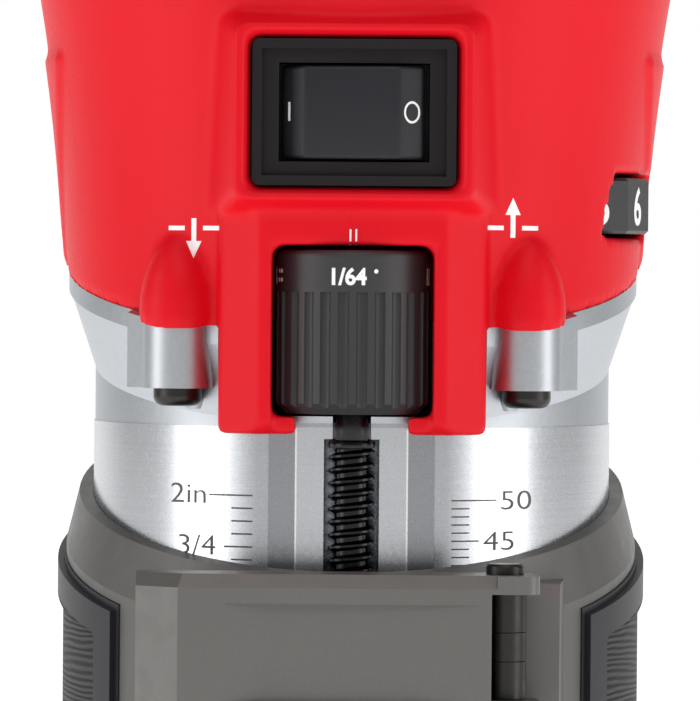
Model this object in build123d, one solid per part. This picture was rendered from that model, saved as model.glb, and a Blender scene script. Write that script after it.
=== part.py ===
"""Compact fixed-base router: a motor that slides in a clamp-sleeve base, set by a fine depth screw.

Millimetres, +Z up. The origin is on the spindle axis at the underside of the sub-base.
The switch and the clamp lever face -Y, and the speed dial is on the +X side.
"""

import math
import os

from build123d import *

# ---- driving dimensions -------------------------------------------------------------------

# Fits
RUN = 0.05  # radial clearance of a running fit
GAP = 0.3  # clearance between pieces that move past each other
PART_LINE = 0.04  # half of the parting gap between the two housing halves

# Motor barrel (the aluminium cylinder that slides in the base)
BARREL_R = 33.0
BARREL_BORE = 29.5
BARREL_BOTTOM = 30.0
BARREL_FLOOR = 42.0  # top of the thick floor that carries the lower bearing
SHOULDER_Z = 106.0  # top of the machined cylinder
NECK_R = 32.85  # as-cast neck above the shoulder
NECK_TOP = 113.5  # where the neck starts to flare
FLANGE_R = 36.3
FLANGE_BAND = 1.7  # height of the straight band under the seam
SEAM_Z = 125.5  # seam between flange and housing, on the axis
SEAM_SLOPE = 0.22  # its rise per millimetre of Y

# Depth screw and its knob
SCREW_Y = -32.0
SCREW_R = 2.85
SCREW_ROOT = 2.05
SCREW_PITCH = 1.5875  # sixteen threads to the inch
SCREW_BOTTOM = 29.0
KNOB_R = 9.4
KNOB_BOTTOM = 107.8
KNOB_HEIGHT = 20.0
KNOB_FLUTES = 26
CHANNEL_HALF = 3.4  # half width of the channel between the rails
RAIL_HALF = 6.85  # half width over both rails
RAIL_FRONT = -32.2
LAND_HALF = 10.2  # half width over the lands beside the rails

# Housing: outer radius at each height
HOUSING_ROWS = [
    (112.0, 36.1),
    (121.0, 36.3),
    (131.7, 36.9),
    (142.0, 37.8),
    (152.3, 39.1),
    (160.0, 40.3),
    (172.0, 42.4),
    (184.0, 43.7),
    (192.0, 44.0),
]
HOUSING_WALL = 2.4
CHEEK_RISE = 0.6
CHEEK_TOP = 152.0
CAP_HEIGHT = 16.0
LEG_HALF = 16.4
LEG_FRONT = -39.6
LEG_BOTTOM = 105.3
PLATE_Z = (126.6, 129.0)  # web that carries the upper bearing

# Switch
SWITCH_Z = 144.5
FRAME_FRONT = -42.6
FRAME_BASE = (16.1, 12.0)  # half width and half height at the body
FRAME_FACE = (14.6, 10.7)  # the same at the front face
BOOT_HALF = (12.4, 8.9)
ROCKER_HALF = (8.8, 5.65)
ROCKER_PIVOT_Y = -37.5
ROCKER_TILT = -5.0

# Speed dial
DIAL_X = 22.5
DIAL_Y = -6.0
DIAL_APOTHEM = 14.5
DIAL_SIDES = 12
DIAL_BOTTOM = 130.2
DIAL_HEIGHT = 7.0

# Barrel screws
BOSS_X = 21.5
BOSS_Y = -29.0
BOSS_R = 4.4
BOSS_BOTTOM = 110.7
REAR_BOSS_BOTTOM = 121.0
BOSS_SCREW_R = 1.6
HUMP_SHOULDER = 119.5
HUMP_TOP = 129.4

# Base
BORE_R = 33.05
SLEEVE_R = 36.4
RIM_R = 34.8
RIM_Z = 97.4  # height of the rim plane on the axis
RIM_SLOPE = 0.275
RIM_BAND = 6.5  # height of the sloping band under the rim
RIM_TOP = 101.5  # the rim is level at this height behind
FLARE_TOP = 46.0
FOOT_R = 58.0
FOOT_TOP = 13.0
SUB_BASE_R = 60.0
SUB_BASE_THICK = 5.0
GUIDE_HOLE_R = 15.1
GUIDE_STEP_R = 17.6
FOOT_HOLE_R = 27.0
WINDOW_HALF = 25.0
WINDOW_TOP = 48.0
MOUNT_PCD = 98.0

# Clamp
SLOT_HALF = 4.0
EAR_HALF = 25.5
EAR_FRONT = -38.2
EAR_Z = (52.0, 87.2)
PIN_X = 18.7
PIN_Y = -42.6
PIN_R = 1.3
LEVER_Z = (71.4, 88.7)
LEVER_LEFT = -26.0
LEVER_FRONT = -48.0
LEVER_BACK = -38.8
CLEVIS_Z = (73.6, 86.5)
KNUCKLE_R = 4.1
BARREL_JOINT_R = 2.6
BOLT_R = 1.5
BOLT_Z = 80.0
LUG_Z = (76.7, 83.3)

# Depth release (half nut)
RELEASE_Y = -36.5
RELEASE_Z = 61.5
NUT_Z = (65.0, 77.0)

# Grip pads
PAD_ANGLE = 52.0  # degrees from the front where a pad starts
PAD_BACK_ANGLE = 150.0  # and where it ends
PAD_R = 37.5
PAD_SEAT_R = 35.4
PAD_BOTTOM = 52.0

# Spindle
SHAFT_R = 4.0
NOSE_R = 8.0
COLLET_BORE_R = 3.2
COLLET_NUT_Z = (11.5, 26.5)
COLLET_NUT_FLATS = 19.0
LOWER_BEARING = (14.0, 6.0, 31.2, 39.2)  # outer radius, inner radius, bottom, top
UPPER_BEARING = (11.0, 4.0, 119.0, 126.0)
STATOR_Z = (68.0, 96.0)
STATOR_R = 26.5
STATOR_BORE = 16.3
ROTOR_R = 15.8

CLEAR = 300.0  # larger than the whole object


# ---- helpers ------------------------------------------------------------------------------


def cyl(r, z0, z1, x=0.0, y=0.0):
    """Upright cylinder between two heights."""
    return Pos(x, y, (z0 + z1) / 2) * Cylinder(r, z1 - z0)


def block(x0, x1, y0, y1, z0, z1):
    """Box between two corners."""
    centre = Pos((x0 + x1) / 2, (y0 + y1) / 2, (z0 + z1) / 2)
    return centre * Box(x1 - x0, y1 - y0, z1 - z0)


def ring(r_out, r_in, z0, z1, x=0.0, y=0.0):
    """Upright ring."""
    return cyl(r_out, z0, z1, x, y) - cyl(r_in, z0 - 1, z1 + 1, x, y)


def cone(r0, r1, z0, z1, x=0.0, y=0.0):
    """Upright truncated cone, r0 at z0 and r1 at z1."""
    return Pos(x, y, (z0 + z1) / 2) * Cone(r0, r1, z1 - z0)


def rod_x(r, x0, x1, y, z):
    """Cylinder along X."""
    return Pos((x0 + x1) / 2, y, z) * Rot(Y=90) * Cylinder(r, x1 - x0)


def rod_y(r, y0, y1, x, z):
    """Cylinder along Y."""
    return Pos(x, (y0 + y1) / 2, z) * Rot(X=90) * Cylinder(r, y1 - y0)


def above(z_on_axis, slope=0.0):
    """Everything above the plane z = z_on_axis + slope * y."""
    plane = Plane(origin=(0, 0, z_on_axis), x_dir=(1, 0, 0), z_dir=(0, -slope, 1))
    return plane * Pos(0, 0, CLEAR / 2) * Box(CLEAR, CLEAR, CLEAR)


def mirrored(shape):
    """The same shape on the other side of the YZ plane."""
    return mirror(shape, about=Plane.YZ)


def both_sides(shape):
    """A shape together with its mirror image."""
    return shape + mirrored(shape)


def group(solids):
    """Several separate solids as one node."""
    parts = []
    for item in solids:
        parts.extend(item.solids())
    return Compound(children=parts)


def turned(points):
    """Solid of revolution about Z from (r, z) corners."""
    face = Plane.XZ * make_face(Polyline(*points, close=True))
    return revolve(face, Axis.Z)


def softened(shape, edges, radius):
    """Fillets the edges, with a smaller radius where the full one can't be built."""
    for share in (1.0, 0.6, 0.35):
        try:
            result = fillet(edges, radius * share)
            if result.is_valid:
                return result
        except Exception:
            continue
    return shape


def wedge(angle0, angle1, r, z0, z1):
    """Sector between two angles measured from -Y towards +X."""
    steps = max(2, math.ceil((angle1 - angle0) / 40))
    corners = [(0.0, 0.0)]
    for i in range(steps + 1):
        a = math.radians(angle0 + (angle1 - angle0) * i / steps)
        corners.append((1.4 * r * math.sin(a), -1.4 * r * math.cos(a)))
    face = make_face(Polyline(*corners, close=True))
    return extrude(Pos(0, 0, z0) * face, z1 - z0)


def screw(r, head_r, head_h, length):
    """Screw that hangs head down at z = 0 with its shank along +Z."""
    head = cyl(head_r, -head_h, 0)
    head = softened(head, head.edges().group_by(Axis.Z)[0], head_h * 0.55)
    socket = Pos(0, 0, -head_h - 0.1) * extrude(RegularPolygon(head_r * 0.42, 6), head_h * 0.55)
    return head - socket + cyl(r, -0.1, length)


# ---- housing form -------------------------------------------------------------------------


def housing_profile(offset, z0, z1):
    """Solid inside the housing's outer surface moved by an offset, between two heights."""
    rows = [(r + offset, z) for z, r in HOUSING_ROWS]
    side = Spline(*rows)
    bottom, top = HOUSING_ROWS[0][0], HOUSING_ROWS[-1][0]
    outline = [
        side,
        Line(rows[-1], (0, top)),
        Line((0, top), (0, bottom)),
        Line((0, bottom), rows[0]),
    ]
    solid = revolve(Plane.XZ * make_face(Wire(outline)), Axis.Z) & cyl(CLEAR / 4, z0, z1)
    return Rot(Z=200) * solid  # keeps the surface's own seam clear of the details


def front_block():
    """Block around the knob, with a slanting face on each outer side."""
    top = SWITCH_Z - FRAME_BASE[1] + 2
    slant_x, slant_y = 5.0, 4.2
    outline = Polyline(
        (-LEG_HALF, -30),
        (-LEG_HALF, LEG_FRONT + slant_y),
        (-LEG_HALF + slant_x, LEG_FRONT),
        (LEG_HALF - slant_x, LEG_FRONT),
        (LEG_HALF, LEG_FRONT + slant_y),
        (LEG_HALF, -30),
        close=True,
    )
    legs = extrude(Pos(0, 0, LEG_BOTTOM) * make_face(outline), top - LEG_BOTTOM)
    return chamfer(legs.edges().group_by(Axis.Z)[0].group_by(Axis.Y)[0], 1.2)


def switch_frame():
    """Raised frame with sloping sides around the switch."""
    depth = 12.0
    base = Plane(origin=(0, FRAME_FRONT + depth, SWITCH_Z), x_dir=(1, 0, 0), z_dir=(0, -1, 0))
    face = base.offset(depth)
    grow = (FRAME_BASE[0] - FRAME_FACE[0]) * depth / 5.0
    wide = RectangleRounded(2 * (FRAME_FACE[0] + grow), 2 * (FRAME_FACE[1] + grow), 2.4)
    slim = RectangleRounded(2 * FRAME_FACE[0], 2 * FRAME_FACE[1], 1.6)
    return loft([base * wide, face * slim])


def switch_opening():
    """Tapered opening of the frame, then the straight pocket for the boot."""
    w, h = BOOT_HALF
    front = Plane(origin=(0, FRAME_FRONT - 0.1, SWITCH_Z), x_dir=(1, 0, 0), z_dir=(0, -1, 0))
    floor = front.offset(-2.1)
    taper = loft(
        [
            floor * RectangleRounded(2 * w + 0.5, 2 * h + 0.5, 1.0),
            front * RectangleRounded(2 * w + 2.1, 2 * h + 2.1, 1.4),
        ]
    )
    pocket = block(-w - 0.1, w + 0.1, FRAME_FRONT + 1.9, -20, SWITCH_Z - h - 0.1, SWITCH_Z + h + 0.1)
    return taper + pocket


def knob_recess():
    """Room for the knob: a round bore that opens to the front."""
    r = KNOB_R + 0.45
    z0, z1 = KNOB_BOTTOM - 0.4, KNOB_BOTTOM + KNOB_HEIGHT + 0.6
    return cyl(r, z0, z1, 0, SCREW_Y) + block(-r, r, SCREW_Y - 20, SCREW_Y, z0, z1)


def hump():
    """Tapered red boss over the right barrel screw."""
    rise = HUMP_TOP - HUMP_SHOULDER
    points = [(0, 113), (4.9, 113), (4.9, HUMP_SHOULDER)]
    for share, r in ((0.27, 4.75), (0.53, 4.2), (0.77, 3.2), (0.93, 1.9), (1.0, 0.6)):
        points.append((r, HUMP_SHOULDER + share * rise))
    points.append((0, HUMP_TOP))
    return Pos(BOSS_X, BOSS_Y - 0.2, 0) * turned(points)


def cheeks():
    """Raised side panels with a slanting front edge."""
    body = housing_profile(CHEEK_RISE, HOUSING_ROWS[0][0] + 1, CHEEK_TOP)
    plane = Plane(origin=(0, -6.0, 139.0), x_dir=(1, 0, 0), z_dir=(0, 1, 0.55))
    return body & (plane * Pos(0, 0, CLEAR / 2) * Box(CLEAR, CLEAR, CLEAR))


def housing_whole():
    """Both housing halves before they are parted."""
    low, high = HOUSING_ROWS[0][0], HOUSING_ROWS[-1][0]
    body = housing_profile(0, low, high) + cheeks()
    body += both_sides(hump())
    body += both_sides(cone(BOSS_R, 1.8, 121, 144, BOSS_X, -BOSS_Y - 0.6))
    body = body & above(SEAM_Z, SEAM_SLOPE)
    legs = front_block() - cyl(BARREL_R + GAP + 0.2, 0, 125)
    body = body + legs + switch_frame()
    body += block(-5.8, 5.8, -39.0, -34, KNOB_BOTTOM + KNOB_HEIGHT + 0.7, 133)
    inner = housing_profile(-HOUSING_WALL, low, high)
    pocket_w, pocket_h = BOOT_HALF[0] + 2.2, BOOT_HALF[1] + 2.2
    shroud = block(-pocket_w, pocket_w, -40, -26, SWITCH_Z - pocket_h, SWITCH_Z + pocket_h)
    inner -= cyl(KNOB_R + 2.4, 0, KNOB_BOTTOM + KNOB_HEIGHT + 3.0, 0, SCREW_Y)
    inner -= shroud
    inner -= block(-40, 40, -40, 40, PLATE_Z[0], PLATE_Z[1])
    body -= inner
    outer_r, _, z0, z1 = UPPER_BEARING
    cup = cyl(outer_r + 2.6, z0 + 0.3, PLATE_Z[0] + 0.5)
    posts = both_sides(block(15.5, 24.5, -5, 5, 112.6, PLATE_Z[0] + 0.5))
    body += cup + posts
    body -= cyl(outer_r + 0.01, z0 - 1, z1)
    body -= cyl(SHAFT_R + 3, z1 - 1, PLATE_Z[1] + 1)
    for x in (-1, 1):
        body -= cyl(6.0, PLATE_Z[0] - 1, PLATE_Z[1] + 1, x * 8, 26)
    body -= knob_recess()
    body -= switch_opening()
    body -= block(-RAIL_HALF, RAIL_HALF, -60, -20, LEG_BOTTOM - 1, KNOB_BOTTOM)
    r = KNOB_R + 0.45
    body -= block(-r, r, -60, LEG_FRONT + 1.2, LEG_BOTTOM - 1, KNOB_BOTTOM)
    return body


def dial_window():
    """Slot through the right wall for the speed dial."""
    r = DIAL_APOTHEM / math.cos(math.pi / DIAL_SIDES) + 0.6
    z0, z1 = DIAL_BOTTOM - 0.5, DIAL_BOTTOM + DIAL_HEIGHT + 0.5
    round_part = cyl(r, z0, z1, DIAL_X, DIAL_Y)
    mouth = block(DIAL_X + 7, DIAL_X + 25, DIAL_Y - 9.0, DIAL_Y + 6.0, z0, z1)
    return round_part + mouth


GLAND_Z = 176.0
HOUSING_SCREW_YZ = [(27.0, 143.0), (28.5, 182.0), (-29.0, 166.0)]
SCREW_SEAT_X = 16.0


def housing_halves():
    """The left and right clamshell halves."""
    whole = housing_whole()
    low, high = HOUSING_ROWS[0][0], HOUSING_ROWS[-1][0]
    posts = rod_x(3.9, -45, 45, *HOUSING_SCREW_YZ[0])
    for y, z in HOUSING_SCREW_YZ[1:]:
        posts += rod_x(3.9, -45, 45, y, z)
    whole += posts & housing_profile(-0.9, low, high)
    whole -= rod_y(7.0, 30, 60, 0, GLAND_Z)
    for y, z in HOUSING_SCREW_YZ:
        whole -= rod_x(1.55, -9.0, 17, y, z)
    keep = block(PART_LINE, CLEAR / 2, -CLEAR / 2, CLEAR / 2, 0, CLEAR)
    right = whole - dial_window()
    for y, z in HOUSING_SCREW_YZ:
        right -= rod_x(3.0, SCREW_SEAT_X, 60, y, z)
    halves = []
    for half in (whole & keep, right & keep):
        half = bored(biggest(half), BOSS_BOTTOM + 12, BOSS_Y)
        halves.append(bored(half, REAR_BOSS_BOTTOM + 17, -BOSS_Y))
    return biggest(mirrored(halves[0])), halves[1]


def bored(half, top, y):
    """A right half with the pilot hole of one barrel screw, checked by volume."""
    before = half.volume
    for turn in (0.0, 0.0, 77.0, 130.0, 200.0, 291.0):
        drill = Pos(BOSS_X, y, 0) * Rot(Z=turn) * cyl(BOSS_SCREW_R + 0.02, 100, top)
        half = biggest(half - drill)
        if half.volume < before - 1.0:
            return half
    raise ValueError("the pilot hole was not cut")


def biggest(shape):
    """The largest solid of a shape."""
    return max(shape.solids(), key=lambda s: s.volume)


def top_cap():
    """Flat-topped cap, so that the motor stands upside down for bit changes."""
    z0 = HOUSING_ROWS[-1][0]
    r = HOUSING_ROWS[-1][1]
    body = turned([(0, z0), (r, z0), (r, z0 + 9), (r - 5, z0 + CAP_HEIGHT), (0, z0 + CAP_HEIGHT)])
    body = softened(body, body.edges().filter_by(GeomType.CIRCLE).group_by(Axis.Z)[-1], 2.0)
    spigot = ring(r - HOUSING_WALL - 0.2, r - HOUSING_WALL - 2.6, z0 - 4, z0 + 1)
    inner = turned(
        [
            (0, z0 - 1),
            (r - 5.0, z0 - 1),
            (r - 5.0, z0 + 8),
            (r - 9, z0 + CAP_HEIGHT - 2.6),
            (0, z0 + CAP_HEIGHT - 2.6),
        ]
    )
    body = body - inner + spigot
    for i in range(-4, 5):
        half = math.sqrt(30.0**2 - (i * 6.0) ** 2) - 3
        slot = Pos(i * 6.0, 0, z0 + CAP_HEIGHT) * Box(2.4, 2 * half, 12)
        body -= slot & cyl(29, z0 + 4, z0 + CAP_HEIGHT + 5)
    for angle in CAP_SCREW_ANGLES:
        x, y = polar(CAP_SCREW_R, angle)
        body += cyl(3.4, z0, z0 + CAP_HEIGHT - 2, x, y)
        body -= cyl(1.6, z0 - 5, z0 + 20, x, y)
        body -= cyl(2.9, z0 + CAP_HEIGHT - 3, z0 + 20, x, y)
    return body


CAP_SCREW_R = 33.5
CAP_SCREW_ANGLES = (45.0, 135.0, 225.0, 315.0)


def polar(r, degrees):
    """Point at a radius and an angle from -Y towards +X."""
    a = math.radians(degrees)
    return r * math.sin(a), -r * math.cos(a)


# ---- motor --------------------------------------------------------------------------------


def motor_barrel():
    """Cast and turned barrel: cylinder, flange, screw bosses and the rails of the depth screw."""
    band_z = SEAM_Z - FLANGE_BAND
    outer = cyl(BARREL_R, BARREL_BOTTOM, SHOULDER_Z)
    outer = chamfer(outer.edges().group_by(Axis.Z)[0], 1.2)
    outer += cyl(NECK_R, SHOULDER_Z - 0.5, NECK_TOP + 14)
    flare = loft(
        [
            tilted_ellipse(NECK_R - 0.01, NECK_TOP, SEAM_SLOPE),
            tilted_ellipse(FLANGE_R, band_z, SEAM_SLOPE),
        ],
        ruled=True,
    )
    band = cyl(FLANGE_R, NECK_TOP, SEAM_Z + 12) & above(band_z - 0.6, SEAM_SLOPE)
    boss = cyl(BOSS_R, BOSS_BOTTOM, SEAM_Z + 10, BOSS_X, BOSS_Y)
    web = extrude(
        Pos(0, 0, BOSS_BOTTOM)
        * make_face(
            Polyline(
                (BOSS_X - BOSS_R, BOSS_Y),
                (BOSS_X, BOSS_Y - BOSS_R),
                (BOSS_X + 6.4, BOSS_Y + 3.6),
                (BOSS_X + 4.0, BOSS_Y + 10),
                (BOSS_X - BOSS_R, BOSS_Y + 6),
                close=True,
            )
        ),
        14,
    )
    rear = cyl(BOSS_R, REAR_BOSS_BOTTOM, SEAM_Z + 10, BOSS_X, -BOSS_Y)
    body = outer + flare + band + both_sides(boss + web + rear)
    body -= above(SEAM_Z, SEAM_SLOPE)
    flats = block(-LAND_HALF, LAND_HALF, -40, -31.0, 0, SHOULDER_Z + 0.6)
    rails = block(-RAIL_HALF, RAIL_HALF, RAIL_FRONT, -25, BARREL_BOTTOM, SHOULDER_Z + 1.0)
    body = body - flats + rails
    cavity = cyl(BARREL_BORE, BARREL_FLOOR, SEAM_Z + 30)
    cavity -= ring(BARREL_BORE + 1, STATOR_R + 0.02, STATOR_Z[0] - 1, STATOR_Z[1] + 1)
    cavity -= block(-RAIL_HALF, RAIL_HALF, -40, -27.6, BARREL_FLOOR - 1, SHOULDER_Z)
    cavity -= cyl(KNOB_R + 2.4, KNOB_BOTTOM - 3.2, SEAM_Z + 30, 0, SCREW_Y)
    body -= cavity
    body -= knob_recess()
    channel_back = SCREW_Y + CHANNEL_HALF
    body -= block(-CHANNEL_HALF, CHANNEL_HALF, -45, SCREW_Y, 20, KNOB_BOTTOM - 3.2)
    body -= cyl(CHANNEL_HALF, 20, KNOB_BOTTOM - 3.2, 0, SCREW_Y)
    body -= cyl(2.35, 100, KNOB_BOTTOM + 1, 0, SCREW_Y)
    body -= block(-2.35, 2.35, -45, SCREW_Y, 100, KNOB_BOTTOM + 1)
    legs_z = LEG_BOTTOM - 0.1
    leg_room = block(-LEG_HALF - 0.1, LEG_HALF + 0.1, -60, -25, legs_z, SEAM_Z + 20)
    body -= leg_room - cyl(BARREL_R + GAP + 0.1, 90, 160)
    tab_x = 12.1
    body -= block(RAIL_HALF - 0.1, tab_x, -60, SCREW_Y - 1.5, legs_z, KNOB_BOTTOM)
    body -= block(-tab_x, -RAIL_HALF + 0.1, -60, SCREW_Y - 1.5, legs_z, KNOB_BOTTOM)
    outer_r, _, z0, z1 = LOWER_BEARING
    body -= cyl(outer_r, z0, BARREL_FLOOR + 1)
    body -= cyl(NOSE_R + 2.2, 20, z0 + 1)
    for i in range(10):
        x, y = polar(21.8, 18 + 36 * i)
        body -= cyl(2.6, 20, BARREL_FLOOR + 1, x, y)
    for sx in (-1, 1):
        for y in (BOSS_Y, -BOSS_Y):
            body -= cyl(BOSS_SCREW_R + 0.05, 100, 150, sx * BOSS_X, y)
        body -= cyl(3.4, 112, REAR_BOSS_BOTTOM, sx * BOSS_X, -BOSS_Y)
        body -= cyl(3.3, BOSS_BOTTOM - 2.6, BOSS_BOTTOM, sx * BOSS_X, BOSS_Y)
    return biggest(body)


def barrel_screws():
    """The four screws that hold the housing on the barrel."""
    front = Pos(BOSS_X, BOSS_Y, BOSS_BOTTOM) * screw(BOSS_SCREW_R, 3.0, 2.2, 11)
    rear = Pos(BOSS_X, -BOSS_Y, REAR_BOSS_BOTTOM) * screw(BOSS_SCREW_R, 3.0, 2.2, 16)
    return group([front, mirrored(front), rear, mirrored(rear)])


def housing_screws():
    """Screws across the two halves."""
    shapes = []
    for y, z in HOUSING_SCREW_YZ:
        one = Pos(SCREW_SEAT_X, y, z) * Rot(Y=-90) * screw(1.5, 2.8, 2.0, 23)
        shapes.append(one)
    return group(shapes)


def cap_screws():
    """Screws that hold the cap on the housing."""
    shapes = []
    z = HOUSING_ROWS[-1][0] + CAP_HEIGHT - 3
    for angle in CAP_SCREW_ANGLES:
        x, y = polar(CAP_SCREW_R, angle)
        shapes.append(Pos(x, y, z) * Rot(X=180) * screw(1.5, 2.8, 1.8, 13 + 4))
    return group(shapes)


def stator_core():
    """Laminated field core with two poles and flats at the sides."""
    z0, z1 = STATOR_Z
    body = ring(STATOR_R, STATOR_BORE, z0, z1)
    for sy in (-1, 1):
        y0, y1 = sorted((sy * 12.0, sy * 21.5))
        body -= block(-22, -17.5, y0, y1, z0 - 1, z1 + 1)
        body -= block(17.5, 22, y0, y1, z0 - 1, z1 + 1)
    return body


def field_windings():
    """Coil ends above and below the field core."""
    z0, z1 = STATOR_Z
    coils = []
    for lo, hi in ((z0 - 6.0, z0 - 0.1), (z1 + 0.1, z1 + 6.0)):
        whole = ring(24.5, 17.6, lo, hi)
        for side in (-1, 1):
            x0, x1 = sorted((side * 2.0, side * 40.0))
            half = biggest(whole & block(x0, x1, -40, 40, lo, hi))
            coils.append(softened(half, half.edges().filter_by(GeomType.CIRCLE), 1.4))
    return group(coils)


def bearing(spec, balls):
    """Ball bearing as outer ring, ball set and inner ring."""
    r_out, r_in, z0, z1 = spec
    middle = (r_out + r_in) / 2
    ball_r = (r_out - r_in) * 0.27
    zc = (z0 + z1) / 2
    track = Pos(0, 0, zc) * Torus(middle, ball_r + 0.04)
    outer = ring(r_out, middle + ball_r * 0.55, z0, z1) - track
    inner = ring(middle - ball_r * 0.55, r_in, z0, z1) - track
    ball_set = []
    for i in range(balls):
        x, y = polar(middle, 360 / balls * i)
        ball_set.append(Pos(x, y, zc) * Sphere(ball_r))
    return outer, group(ball_set), inner


def brush_holders():
    """Two brass tubes that guide the carbon brushes."""
    holder = block(12.4, 27.0, -4.2, 4.2, 105.0, 112.5) - block(11, 28, -3.3, 3.3, 106.0, 111.5)
    return group([holder, mirrored(holder)])


def brushes():
    """Carbon brushes that rest on the commutator."""
    brush = block(10.2, 20.5, -3.2, 3.2, 106.1, 111.4) - cyl(10.55, 100, 120)
    return group([brush, mirrored(brush)])


def coil_spring(r, wire, length, turns):
    """Compression spring along +Z from z = 0, with its wire on a helix."""
    path = Helix(pitch=(length - 2 * wire) / turns, height=length - 2 * wire, radius=r)
    start = Plane(origin=path @ 0, z_dir=path % 0)
    wire_solid = sweep(start * Circle(wire), path=path)
    return Pos(0, 0, wire) * wire_solid


def brush_springs():
    """Springs that press the brushes inwards."""
    one = Pos(20.6, 0, 108.75) * Rot(Y=90) * coil_spring(2.0, 0.3, 6.0, 5)
    return group([one, mirrored(one)])


def spindle_shaft():
    """Shaft with collet nose, bearing seats and two wrench flats."""
    z_low, z_high = LOWER_BEARING[2], UPPER_BEARING[3]
    body = turned(
        [
            (0, 16.0),
            (NOSE_R, 16.0),
            (NOSE_R, z_low - 1.4),
            (7.0, z_low - 1.4),
            (7.0, z_low),
            (LOWER_BEARING[1], z_low),
            (LOWER_BEARING[1], 46.0),
            (SHAFT_R, 46.0),
            (SHAFT_R, z_high + 0.5),
            (0, z_high + 0.5),
        ]
    )
    body -= cone(5.6, 3.9, 15.0, 30.0)
    body -= cyl(3.4, 29, 44)
    flats = both_sides(block(6.6, 10, -10, 10, 27.0, 29.6))
    return body - flats


def collet():
    """Split collet that grips the bit's shank."""
    body = cone(5.45, 4.0, 15.9, 28.5)
    body += cyl(5.45, 13.2, 15.95)
    body = chamfer(body.edges().group_by(Axis.Z)[0], 0.5)
    body -= cyl(COLLET_BORE_R, 10, 30)
    for i in range(4):
        slit = Rot(Z=45 + 90 * i) * block(2.0, 9, -0.4, 0.4, 10, 25.5)
        body -= slit
    return biggest(body)


def collet_nut():
    """Hexagonal nut that draws the collet in."""
    z0, z1 = COLLET_NUT_Z
    hexagon = extrude(
        Pos(0, 0, z0) * RegularPolygon(COLLET_NUT_FLATS / 2, 6, major_radius=False), z1 - z0
    )
    crown = cyl(COLLET_NUT_FLATS * 0.57, z0, z1)
    crown = chamfer(crown.edges(), 1.0)
    body = hexagon & crown
    body -= cyl(NOSE_R + RUN, z0 + 4.4, z1 + 1)
    body -= cyl(5.45 + RUN, z0 + 1.6, z0 + 5)
    body -= cyl(COLLET_BORE_R + 0.9, z0 - 1, z0 + 2)
    return body


def rotor_core():
    """Laminated armature with slots."""
    z0, z1 = STATOR_Z
    body = ring(ROTOR_R, SHAFT_R, z0, z1)
    for i in range(12):
        body -= Rot(Z=30 * i) * block(9.5, 17, -0.9, 0.9, z0 - 1, z1 + 1)
    return body


def rotor_windings():
    """Winding heads at both ends of the armature."""
    z0, z1 = STATOR_Z
    heads = []
    for lo, hi in ((z0 - 7.0, z0 - 0.05), (z1 + 0.05, z1 + 7.0)):
        head = ring(13.8, SHAFT_R, lo, hi)
        edges = [e for e in head.edges().filter_by(GeomType.CIRCLE) if e.radius > 10]
        heads.append(softened(head, edges, 2.2))
    return group(heads)


def commutator():
    """Copper commutator with slots between its bars."""
    body = ring(10.5, SHAFT_R, 104.5, 113.0)
    for i in range(24):
        body -= Rot(Z=15 * i) * block(9.6, 12, -0.2, 0.2, 104, 114)
    return body


def cooling_fan():
    """Radial fan under the armature."""
    body = ring(8.0, SHAFT_R, 49.0, 59.0)
    body += ring(25.5, SHAFT_R, 57.4, 59.0)
    for i in range(11):
        blade = Rot(Z=360 / 11 * i) * Pos(16.0, 0, 53.8) * Rot(Z=28) * Box(17, 1.2, 7.6)
        body += blade
    return body & cyl(25.5, 49, 59)


def depth_screw():
    """Threaded rod with a slim neck that its seat holds, and a core for the knob."""
    top = KNOB_BOTTOM + 12
    z1 = KNOB_BOTTOM - 3.3
    profile = [(0, SCREW_BOTTOM), (SCREW_ROOT, SCREW_BOTTOM)]
    z = SCREW_BOTTOM + 0.4
    depth_z = SCREW_PITCH / 2
    while z + SCREW_PITCH < z1 - 1.0:
        profile.append((SCREW_ROOT, z))
        profile.append((SCREW_R, z + depth_z - 0.15))
        profile.append((SCREW_R, z + depth_z + 0.15))
        profile.append((SCREW_ROOT, z + SCREW_PITCH - 0.1))
        z += SCREW_PITCH
    profile += [
        (SCREW_ROOT, z + 0.2),
        (SCREW_R, z + 0.2),
        (SCREW_R, z1),
        (2.3, z1),
        (2.3, KNOB_BOTTOM + 0.5),
        (SCREW_R, KNOB_BOTTOM + 0.5),
        (SCREW_R, top),
        (0, top),
    ]
    return Pos(0, SCREW_Y, 0) * turned(profile)


def depth_knob():
    """Fluted knob with a smooth scale band on top."""
    z0, z1 = KNOB_BOTTOM, KNOB_BOTTOM + KNOB_HEIGHT
    band = z1 - 5.1
    body = cyl(KNOB_R, z0, z1)
    body = chamfer(body.edges().group_by(Axis.Z)[0], 1.3)
    body = softened(body, body.edges().group_by(Axis.Z)[-1], 0.8)
    body -= cyl(SCREW_R, z0 - 1, z0 + 12.0)
    body += ring(SCREW_R + 0.8, SCREW_R, z0, z0 + 12.0)
    body -= cyl(7.2, z1 - 1.0, z1 + 1)
    for i in range(KNOB_FLUTES):
        flute = cyl(0.72, z0 - 1, band, KNOB_R + 0.22, 0)
        body -= Rot(Z=360 / KNOB_FLUTES * i) * flute
    return Pos(0, SCREW_Y, 0) * body


# ---- electrical ---------------------------------------------------------------------------


def switch_body():
    """Switch block with its terminals behind."""
    w, h = 11.2, 7.4
    body = block(-w, w, -34.5, -16, SWITCH_Z - h, SWITCH_Z + h)
    body = softened(body, body.edges().filter_by(Axis.Y), 1.0)
    for x in (-7, 0, 7):
        body += block(x - 2.4, x + 2.4, -16.5, -9, SWITCH_Z - 0.4, SWITCH_Z + 0.4)
    return body


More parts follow.
